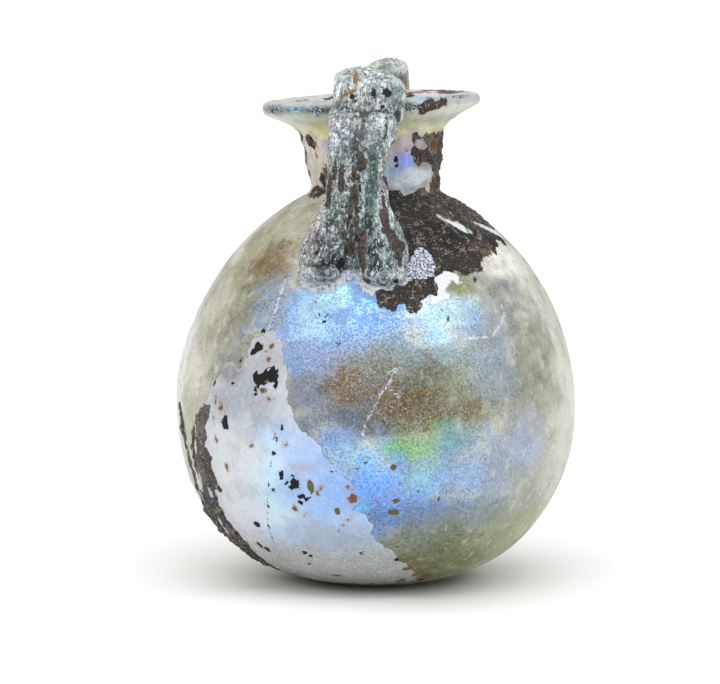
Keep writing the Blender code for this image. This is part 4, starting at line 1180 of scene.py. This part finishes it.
def blown_shares(tree, pattern, stored):
    """How strongly each fine mark shows: first its full strength in a place, then the mark itself."""
    grit, spark, fine = pattern["grit"], pattern["spark"], pattern["fine"]
    mottle, cloud, brush = pattern["mottle"], pattern["cloud"], pattern["brush"]
    full = stepped(tree, {
        # The first three rows set how strongly light and shade are painted over the film's wrinkles, how
        # strongly glints are painted on them, and how strongly shade is painted in their creases
        "peel_shading": (stored["film_sheen"], 0.0, 1.0, 0.12, 0.36),
        "spark": (stored["fleck_and_glint_share"], 0.0, 1.0, 0.03, 0.85),
        "crease_shade": (stored["fleck_and_glint_share"], 0.0, 1.0, 0.04, 0.9),
        "fleck": (stored["fleck_and_glint_share"], 0.5, 0.9, 0.0, 1.0),
        "sand": (stored["sandy_share"], 0.0, 1.0, 0.18, 0.6),
        "satin": (stored["film_sheen"], 0.0, 1.0, 0.4, 0.26),
        "gold": (stored["gilding"], 0.0, 1.0, 0.0, 0.7),
        "amber": (stored["gilding"], 0.1, 1.0, 0.0, 0.42),
        "brush": (stored["film_sheen"], 0.0, 1.0, 0.3, 0.0),
        "grain": (mottle, 0.46, 0.58, 0.12, 0.9),
    })
    share = stepped(tree, {
        "smoke": (cloud, 0.42, 0.64, 0.0, 0.3),
        "gold": (cloud, 0.38, 0.6, 0.0, full["gold"]),
        "amber": (mottle, 0.46, 0.6, 0.0, full["amber"]),
        "pale": (brush, 0.52, 0.68, 0.0, full["brush"]),
        "dull": (brush, 0.32, 0.46, full["brush"], 0.0),
        # Painted glints on the wrinkles, painted shade in their creases, real dark flecks, and the painted
        # light and shade of the wrinkles
        "spark": (spark, 0.53, 0.7, 0.0, full["spark"]),
        "crease_shade": (grit, 0.34, 0.42, full["crease_shade"], 0.0),
        "fleck": (spark, 0.43, 0.51, full["fleck"], 0.0),
        "peel_shading": (grit, 0.38, 0.6, -0.5, 0.5),
        "haze": (fine, 0.5, 0.7, 0.0, 0.16),
        "dots": (stored["crack_gap"], 0.08, 0.22, 1.0, 0.0),
        "beads": (fine, 0.47, 0.53, 0.0, 1.0),
        "scratch": (stored["scratch_gap"], 0.1, 0.3, 1.0, 0.0),
        "broken": (spark, 0.42, 0.52, 0.0, 0.85),
        "powder": (fine, 0.48, 0.7, 0.0, 0.2),
        "pock": (spark, 0.6, 0.68, 0.0, full["sand"]),
        "sand": (grit, 0.34, 0.44, full["sand"], 0.0),
        "stain": (pattern["stain"], 0.6, 0.74, 0.0, 0.35),
        "veil": (cloud, 0.34, 0.5, 0.3, 0.0),
        "frost": (fine, 0.26, 0.44, 0.3, 1.0),
        "pit": (grit, 0.4, 0.46, 0.75, 0.0),
        "speck": (spark, 0.45, 0.51, 0.85, 0.0),
        "veined": (mottle, 0.48, 0.56, 0.0, 1.0),
        "ash": (cloud, 0.45, 0.6, 0.0, 0.35),
        "loam": (mottle, 0.5, 0.62, 0.0, 0.4),
        "grain": (spark, 0.55, 0.65, 0.0, full["grain"]),
        "soot": (spark, 0.36, 0.47, 0.85, 0.0),
        "edge": (mottle, 0.42, 0.56, 0.0, 0.8),
        "seep": (fine, 0.3, 0.6, 0.1, 0.5),
        "vein": (pattern["cracks"], 0.012, 0.04, 0.85, 0.0),
    })
    return full, share


def blown_colour(tree, look, stored, full, share, layer):
    """The vessel's colour: the film, then each layer in the order in which it lies on the glass."""
    marks = {}
    pairs = {
        "crack": (share["dots"], share["beads"]),
        "scratch": (share["scratch"], share["broken"]),
        "rim": (layer["rim"], share["edge"]),
        "seep": (layer["seep"], share["seep"]),
        "vein": (share["vein"], share["veined"]),
    }
    for name, (first, second) in pairs.items():
        terms = {0: first, 1: second}
        marks[name] = add(tree, "ShaderNodeMath", {"operation": "MULTIPLY"}, terms).outputs[0]
    film = layered(tree, stored["film_and_light_tint"], share, {
        "smoke": "#77776b",
        "pale": "#e6e5da",
        "dull": "#80806a",
        "gold": "#6e5b3c",
        "amber": "#8a6a34",
        "haze": "#d5dadb",
    })
    # The fine pattern raises and lowers the film's brightness: painted light and shade of its wrinkles
    lift = {0: share["peel_shading"], 1: full["peel_shading"], 2: 1.0}
    lift = add(tree, "ShaderNodeMath", {"operation": "MULTIPLY_ADD"}, lift).outputs[0]
    film = {"Color": film, "Value": lift, "Saturation": 1.06}
    film = add(tree, "ShaderNodeHueSaturation", None, film).outputs[0]
    # Painted shade in the creases, real dark flecks, then painted glints on the wrinkles
    film = layered(tree, film, share, {"crease_shade": "#2b323e", "fleck": "#23292d", "spark": "#dfeaf8"})
    film = layered(tree, film, marks, {"scratch": "#cfdcea"})
    chalk = layered(tree, stored["chalk_tint"], share, {
        "powder": "#e4e8ea",
        "veil": "#8f9298",
        "stain": "#a39a96",
        "sand": "#75777a",
        "pock": "#e4e7e6",
    })
    soil = {"ash": "#3c3a39", "loam": "#413d3b", "soot": "#070707", "grain": "#958c86"}
    soil = layered(tree, stored["crust_tint"], share, soil)
    collar = {"powder": "#f2f5f8", "grain": "#eef2f6", "pit": "#53545c"}
    frost = {"frost": (*look.bloom_colour, 1.0)}
    return layered(tree, film, layer | marks, {
        "rim": "#7d7364",
        "chalk": chalk,
        "bloom": layered(tree, rgba("#b3b6c8"), share, frost),
        "collar": layered(tree, rgba("#bcc1ca"), share, collar),
        "crust": layered(tree, soil, marks, {"vein": "#94806f"}),
        "outline": "#2c2828",
        "granular": layered(tree, rgba("#ced0e0"), share, {"powder": "#eef0fa", "speck": "#262634"}),
        "crack": "#3a2a1e",
        "seep": "#a8937a",
        "rust": "#6b4a2a",
        "chip": "#5f5830",
        "turquoise": "#6fb0b0",
        "black": "#060505",
    })


def blown_glass(look):
    """Blown natron glass, weathered in the ground.

    The bare skin is a thin pearly film of many layers, finely wrinkled, which gives soft metallic
    blues and golds. A chalky layer of flaked weathering hides it low down, a pale crystalline bloom
    and a dark gritty soil crust lie on top, and small blots and chips break it up. The film's real
    wrinkles are finer than 0.1 mm, so they are drawn at 0.3 mm to show.
    """
    # The film's blue and brown-gold bands are partly painted reflections, and its wrinkles carry painted
    # light, shade and glints
    material, tree, pattern = new_material("blown_glass_weathered", {
        "grit": (0.34, 2.0, 0.5),
        "spark": (0.3, 1.0, 0.5),
        "fine": (0.75, 3.0, 0.55),
        "mottle": (1.8, 4.0, 0.6),
        "cloud": (5.0, 5.0, 0.6),
        "stain": (2.4, 4.0, 0.6),
        "brush": (1.7, 4.0, 0.65, 0.6),
    })
    pattern["cracks"] = shrinkage_cracks(tree)
    stored = {}
    for name in BLOWN_FIELDS:
        node = add(tree, "ShaderNodeAttribute", {"attribute_name": name})
        stored[name] = node.outputs["Color" if "tint" in name else "Fac"]
    layer = blown_layers(tree, pattern)
    full, share = blown_shares(tree, pattern, stored)
    colour = blown_colour(tree, look, stored, full, share, layer)
    dry = dict.fromkeys(("chalk", "bloom", "collar", "granular", "crust", "black", "rust"), 0.0)
    scaled = {}
    for name, most in (("film_sheen", MOST_METALLIC), ("clear_share", MOST_CLEAR)):
        bare = layered(tree, stored[name], layer, dry)
        scaled[name] = add(tree, "ShaderNodeMath", {"operation": "MULTIPLY"}, {0: bare, 1: most}).outputs[0]
    matt = {"chalk": 0.5, "bloom": 0.5, "collar": 0.5, "crust": 0.75, "black": 0.7}
    lumps = {0: layer["crust"], 1: pattern["mottle"]}
    lumps = add(tree, "ShaderNodeMath", {"operation": "MULTIPLY"}, lumps).outputs[0]
    relief = [
        (pattern["grit"], 0.035), (pattern["fine"], 0.03), (pattern["mottle"], 0.03),
        (layer["chalk"], 0.06), (layer["bloom"], 0.08), (layer["collar"], 0.1), (layer["black"], 0.05),
        (layer["chip"], -0.06), (lumps, 0.5), (share["pit"], -0.03),
    ]
    shader = add(tree, "ShaderNodeBsdfPrincipled", None, {
        "Base Color": colour,
        "Metallic": scaled["film_sheen"],
        "Roughness": layered(tree, full["satin"], layer, matt),
        "IOR": GLASS_IOR,
        "Specular IOR Level": 0.35,
        "Normal": embossed(tree, relief),
        "Transmission Weight": scaled["clear_share"],
    })
    add(tree, "ShaderNodeOutputMaterial", None, {"Surface": shader.outputs[0]})
    return material


def trailed_glass():
    """Trails of the same glass, laid on hot and drawn.

    Grey-green and satin, dulled in lengthwise streaks, under a fine whitish net of weathering, with
    bare teal glass where it has flaked and iron-brown crust in the hollows. The net's real threads
    are finer than 0.1 mm, so they are drawn at 0.3 to 0.6 mm to show.
    """
    material, tree, pattern = new_material("trailed_glass_weathered", {
        "grit": (0.34, 2.0, 0.55, 0.7),
        "fine": (0.6, 3.0, 0.6),
        "mottle": (1.6, 4.0, 0.6),
        "drawn": (0.8, 3.0, 0.6, 0.18),
        "spark": (0.5, 3.0, 0.8, 0.55),
    })
    grit, fine, mottle, drawn, spark = (pattern[k] for k in ("grit", "fine", "mottle", "drawn", "spark"))
    tint = add(tree, "ShaderNodeAttribute", {"attribute_name": "trail_tint"}).outputs["Color"]
    # How far each point stands proud, which steers the painted shade in hollows and the painted highlights
    # on ridges
    proud = add(tree, "ShaderNodeAttribute", {"attribute_name": "proud"}).outputs["Fac"]
    proud = {0: fine, 1: 0.08, 2: proud}
    proud = add(tree, "ShaderNodeMath", {"operation": "MULTIPLY_ADD"}, proud).outputs[0]
    layer = frayed(tree, {
        "halo": ("iron", fine, 1.6, 0.3, 0.3),
        "rind": ("iron", fine, 1.0, 0.08, 0.12),
        "iron": ("iron", fine, 1.0, 0.07, 0.0),
        "rust": ("rust", fine, 0.9, 0.1, 0.0),
        "dark": ("dark", fine, 0.9, 0.06, 0.0),
        "clean": ("clean", mottle, 1.2, 0.4, 0.0),
    })
    full = stepped(tree, {
        "net": (layer["clean"], 0.0, 1.0, 1.6, 1.2),
        "pit": (layer["clean"], 0.0, 1.0, 0.85, 0.4),
        "glint": (layer["clean"], 0.0, 1.0, 0.62, 0.3),
    })
    share = stepped(tree, {
        "streak": (drawn, 0.42, 0.6, 1.15, 0.68),
        "mottled": (mottle, 0.38, 0.6, 0.72, 1.18),
        "net": (fine, 0.44, 0.6, 0.74, full["net"]),
        "lilac": (mottle, 0.52, 0.66, 0.0, 0.3),
        "halo": (layer["halo"], 0.0, 1.0, 0.0, 0.35),
        "pit": (grit, 0.36, 0.47, full["pit"], 0.0),
        "glint": (spark, 0.54, 0.62, 0.0, full["glint"]),
        "loam": (fine, 0.44, 0.6, 0.0, 0.7),
        "ash": (spark, 0.58, 0.68, 0.0, 0.5),
        "satin": (fine, 0.4, 0.62, 0.2, 0.42),
        # The next two rows paint shade into the hollows and highlights onto the ridges, from how far each
        # point stands proud
        "hollow": (proud, -0.02, 0.035, 0.8, 0.0),
        "ridge_highlight": (proud, 0.095, 0.14, 0.0, 0.8),
    })
    lift = 1.0
    for key in ("streak", "mottled", "net"):
        lift = add(tree, "ShaderNodeMath", {"operation": "MULTIPLY"}, {0: share[key], 1: lift}).outputs[0]
    tint = add(tree, "ShaderNodeHueSaturation", None, {"Color": tint, "Value": lift}).outputs[0]
    tint = layered(tree, tint, share, {
        "lilac": "#a09ca8",
        # Painted shade in the hollows and painted highlights on the ridges
        "hollow": "#232726",
        "ridge_highlight": "#d3dadb",
        "halo": "#a2bcbc",
        "pit": "#151615",
        "glint": "#e2eaea",
    })
    iron = layered(tree, rgba("#332a24"), share, {"loam": "#5f5148", "ash": "#857c74", "pit": "#0e0c0b"})
    spots = {"rind": "#221c1a", "iron": iron, "rust": "#85602f", "dark": "#0c0a0a"}
    relief = [(grit, 0.045), (drawn, 0.08), (mottle, 0.05), (layer["iron"], 0.04), (share["pit"], -0.03)]
    shader = add(tree, "ShaderNodeBsdfPrincipled", None, {
        "Base Color": layered(tree, tint, layer, spots),
        "Roughness": layered(tree, share["satin"], layer, {"iron": 0.65, "dark": 0.6}),
        "IOR": GLASS_IOR,
        "Specular IOR Level": 0.4,
        "Normal": embossed(tree, relief),
    })
    add(tree, "ShaderNodeOutputMaterial", None, {"Surface": shader.outputs[0]})
    return material


def studio_card(look):
    """Matt white sweep: plain, so the flask's own colours stand out."""
    material = bpy.data.materials.new("matt_white_sweep")
    material.use_nodes = True
    shader = material.node_tree.nodes["Principled BSDF"]
    shader.inputs["Base Color"].default_value = (*look.floor_colour, 1.0)
    shader.inputs["Roughness"].default_value = 0.7
    shader.inputs["Specular IOR Level"].default_value = 0.2
    return material


# ---------------------------------------------------------------------------------------------
# Sizes and colours that a user would change
# ---------------------------------------------------------------------------------------------


class VesselLook(bpy.types.PropertyGroup):
    """The vessel's relief and colours."""

    unevenness: bpy.props.FloatProperty(
        name="Unevenness",
        description="How far the blown wall wanders from round",
        default=0.12 * MM, unit="LENGTH", precision=5,
    )
    chalk_thickness: bpy.props.FloatProperty(
        name="Chalky layer",
        description="Thickness of the chalky layer",
        default=0.16 * MM, unit="LENGTH", precision=5,
    )
    crust_thickness: bpy.props.FloatProperty(
        name="Soil crust",
        description="Mean thickness of the soil crust",
        default=0.4 * MM, unit="LENGTH", precision=5,
    )
    film_colour: bpy.props.FloatVectorProperty(
        name="Film",
        description="Ground colour of the pearly film",
        default=linear("#bdbcaa"), size=3, subtype="COLOR", min=0, max=1,
    )
    chalk_colour: bpy.props.FloatVectorProperty(
        name="Chalk",
        description="Ground colour of the chalky layer",
        default=linear("#bfc3ca"), size=3, subtype="COLOR", min=0, max=1,
    )
    bloom_colour: bpy.props.FloatVectorProperty(
        name="Bloom",
        description="Colour of the crystalline bloom",
        default=linear("#dfe1e8"), size=3, subtype="COLOR", min=0, max=1,
    )
    crust_colour: bpy.props.FloatVectorProperty(
        name="Crust",
        description="Darkest colour of the soil crust",
        default=linear("#1b1918"), size=3, subtype="COLOR", min=0, max=1,
    )


class HandleLook(bpy.types.PropertyGroup):
    """The handles' relief and colours."""

    voxel: bpy.props.FloatProperty(
        name="Fineness",
        description="Grid on which the trails are fused",
        default=0.24 * MM, unit="LENGTH", precision=5,
    )
    drawn_lines: bpy.props.FloatProperty(
        name="Drawn lines",
        description="Height of the lines drawn along the straps",
        default=0.05 * MM, unit="LENGTH", precision=5,
    )
    glass_colour: bpy.props.FloatVectorProperty(
        name="Trail",
        description="Colour of the weathered trail",
        default=linear("#7d8889"), size=3, subtype="COLOR", min=0, max=1,
    )


class StageLook(bpy.types.PropertyGroup):
    """The floor and the lights."""

    floor_colour: bpy.props.FloatVectorProperty(
        name="Floor",
        description="Colour of the floor",
        default=linear("#fcfcfc"), size=3, subtype="COLOR", min=0, max=1,
    )
    canopy_power: bpy.props.FloatProperty(
        name="Canopy",
        description="Strength of the wide soft light overhead, in watts per square metre",
        default=2.2, min=0,
    )
    side_power: bpy.props.FloatProperty(
        name="Side lights", description="Power of each side light in watts", default=2.5, min=0
    )
    surround: bpy.props.FloatProperty(
        name="Surround", description="Strength of the even light around", default=0.45, min=0
    )


# ---------------------------------------------------------------------------------------------
# Operators
# ---------------------------------------------------------------------------------------------


class ARYBALLOS_OT_vessel(bpy.types.Operator):
    """Builds the blown vessel's weathered skin over its solid"""

    bl_idname = "aryballos.vessel"
    bl_label = "Vessel"

    def execute(self, context):
        look = context.scene.aryballos_vessel
        skin, normals, faces, is_shown = vessel_skin(ROW_SPACING, COLUMNS)
        layers = vessel_layers(skin, look)
        relief = vessel_relief(skin, layers, look) * is_shown
        points = hand_worked(skin.points + normals * relief[:, None])
        piece = mesh_object("blown_vessel", points, *faces)
        if len(piece.data.polygons) == 0:
            raise RuntimeError("the vessel's skin has no faces")
        for name, values in layers.items():
            store(piece, name, values)
        piece.data.materials.append(blown_glass(look))
        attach(piece, "root")
        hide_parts("vessel")
        return {"FINISHED"}


class ARYBALLOS_OT_handles(bpy.types.Operator):
    """Builds the two trailed strap handles over their solids"""

    bl_idname = "aryballos.handles"
    bl_label = "Handles"

    def execute(self, context):
        look = context.scene.aryballos_handles
        glass = trailed_glass()
        for node, row in HANDLES.items():
            piece = handle_piece(f"trailed_{node}", node, look, **row)
            if len(piece.data.polygons) < FEWEST_FACES:
                raise RuntimeError(f"{node} was not fused")
            piece.data.materials.append(glass)
        return {"FINISHED"}


class ARYBALLOS_OT_stage(bpy.types.Operator):
    """Sets out the pale floor, the soft lights and the camera"""

    bl_idname = "aryballos.stage"
    bl_label = "Stage"

    def execute(self, context):
        look = context.scene.aryballos_stage
        scene = context.scene
        points = np.array([[-1, -1, 0], [1, -1, 0], [1, 1, 0], [-1, 1, 0]], float) * FLOOR_REACH / MM
        floor = mesh_object("floor", points, np.array([[0, 1, 2, 3]]), np.zeros((0, 3), int))
        floor.data.materials.append(studio_card(look))
        world = bpy.data.worlds.new("surround")
        world.use_nodes = True
        background = world.node_tree.nodes["Background"]
        background.inputs["Color"].default_value = (1.0, 1.0, 1.0, 1.0)
        background.inputs["Strength"].default_value = look.surround
        scene.world = world
        scene.view_settings.view_transform = "Standard"
        canopy = bpy.data.lights.new("canopy", "SUN")
        canopy.energy, canopy.angle = look.canopy_power, CANOPY_ANGLE
        lights = [(canopy, Vector(CANOPY_FROM))]
        for name, place, size, share in LIGHTS:
            light = bpy.data.lights.new(name, "AREA")
            light.shape, light.size, light.size_y = "RECTANGLE", *size
            light.energy = share * look.side_power
            lights.append((light, Vector(place)))
        for light, place in lights:
            lamp = bpy.data.objects.new(light.name, light)
            lamp.location = place
            lamp.rotation_euler = (Vector((0, 0, LIT_HEIGHT)) - place).to_track_quat("-Z", "Y").to_euler()
            scene.collection.objects.link(lamp)
        sine, cosine = math.sin(CAMERA_TURN), math.cos(CAMERA_TURN)
        camera = bpy.data.objects.new("camera", bpy.data.cameras.new("camera"))
        camera.location = Vector((CAMERA_DISTANCE * sine, -CAMERA_DISTANCE * cosine, CAMERA_HEIGHT))
        right, aim = Vector((cosine, sine, 0.0)), Vector((0, 0, AIM_HEIGHT))
        upwards = right.cross((aim - camera.location).normalized())
        target = aim - AIM_ASIDE * right - AIM_DOWN * upwards
        camera.rotation_euler = (target - camera.location).to_track_quat("-Z", "Y").to_euler()
        camera.data.lens, camera.data.sensor_width = LENS, SENSOR
        camera.data.clip_start, camera.data.clip_end = 0.01, 100.0
        scene.collection.objects.link(camera)
        scene.camera = camera
        return {"FINISHED"}


class VIEW3D_PT_aryballos(bpy.types.Panel):
    """Lists the pieces of the flask and their sizes and colours"""

    bl_label = "Aryballos"
    bl_space_type = "VIEW_3D"
    bl_region_type = "UI"
    bl_category = "Aryballos"

    def draw(self, context):
        for group, operator in zip(GROUPS, OPERATORS):
            box = self.layout.box()
            box.operator(operator.bl_idname)
            settings = getattr(context.scene, group)
            for key in GROUPS[group].__annotations__:
                box.prop(settings, key)


GROUPS = {"aryballos_vessel": VesselLook, "aryballos_handles": HandleLook, "aryballos_stage": StageLook}
OPERATORS = [ARYBALLOS_OT_vessel, ARYBALLOS_OT_handles, ARYBALLOS_OT_stage]


def register():
    """Registers the classes and gives the scene its groups of settings."""
    for cls in [*GROUPS.values(), *OPERATORS, VIEW3D_PT_aryballos]:
        bpy.utils.register_class(cls)
    for name, cls in GROUPS.items():
        setattr(bpy.types.Scene, name, bpy.props.PointerProperty(type=cls))


def unregister():
    """Takes the groups of settings off the scene and unregisters the classes."""
    for name in GROUPS:
        delattr(bpy.types.Scene, name)
    for cls in [VIEW3D_PT_aryballos, *OPERATORS[::-1], *list(GROUPS.values())[::-1]]:
        bpy.utils.unregister_class(cls)


def main():
    """Registers the classes, then builds every piece in order."""
    register()
    bpy.ops.aryballos.vessel()
    bpy.ops.aryballos.handles()
    bpy.ops.aryballos.stage()


if __name__ == "__main__":
    main()
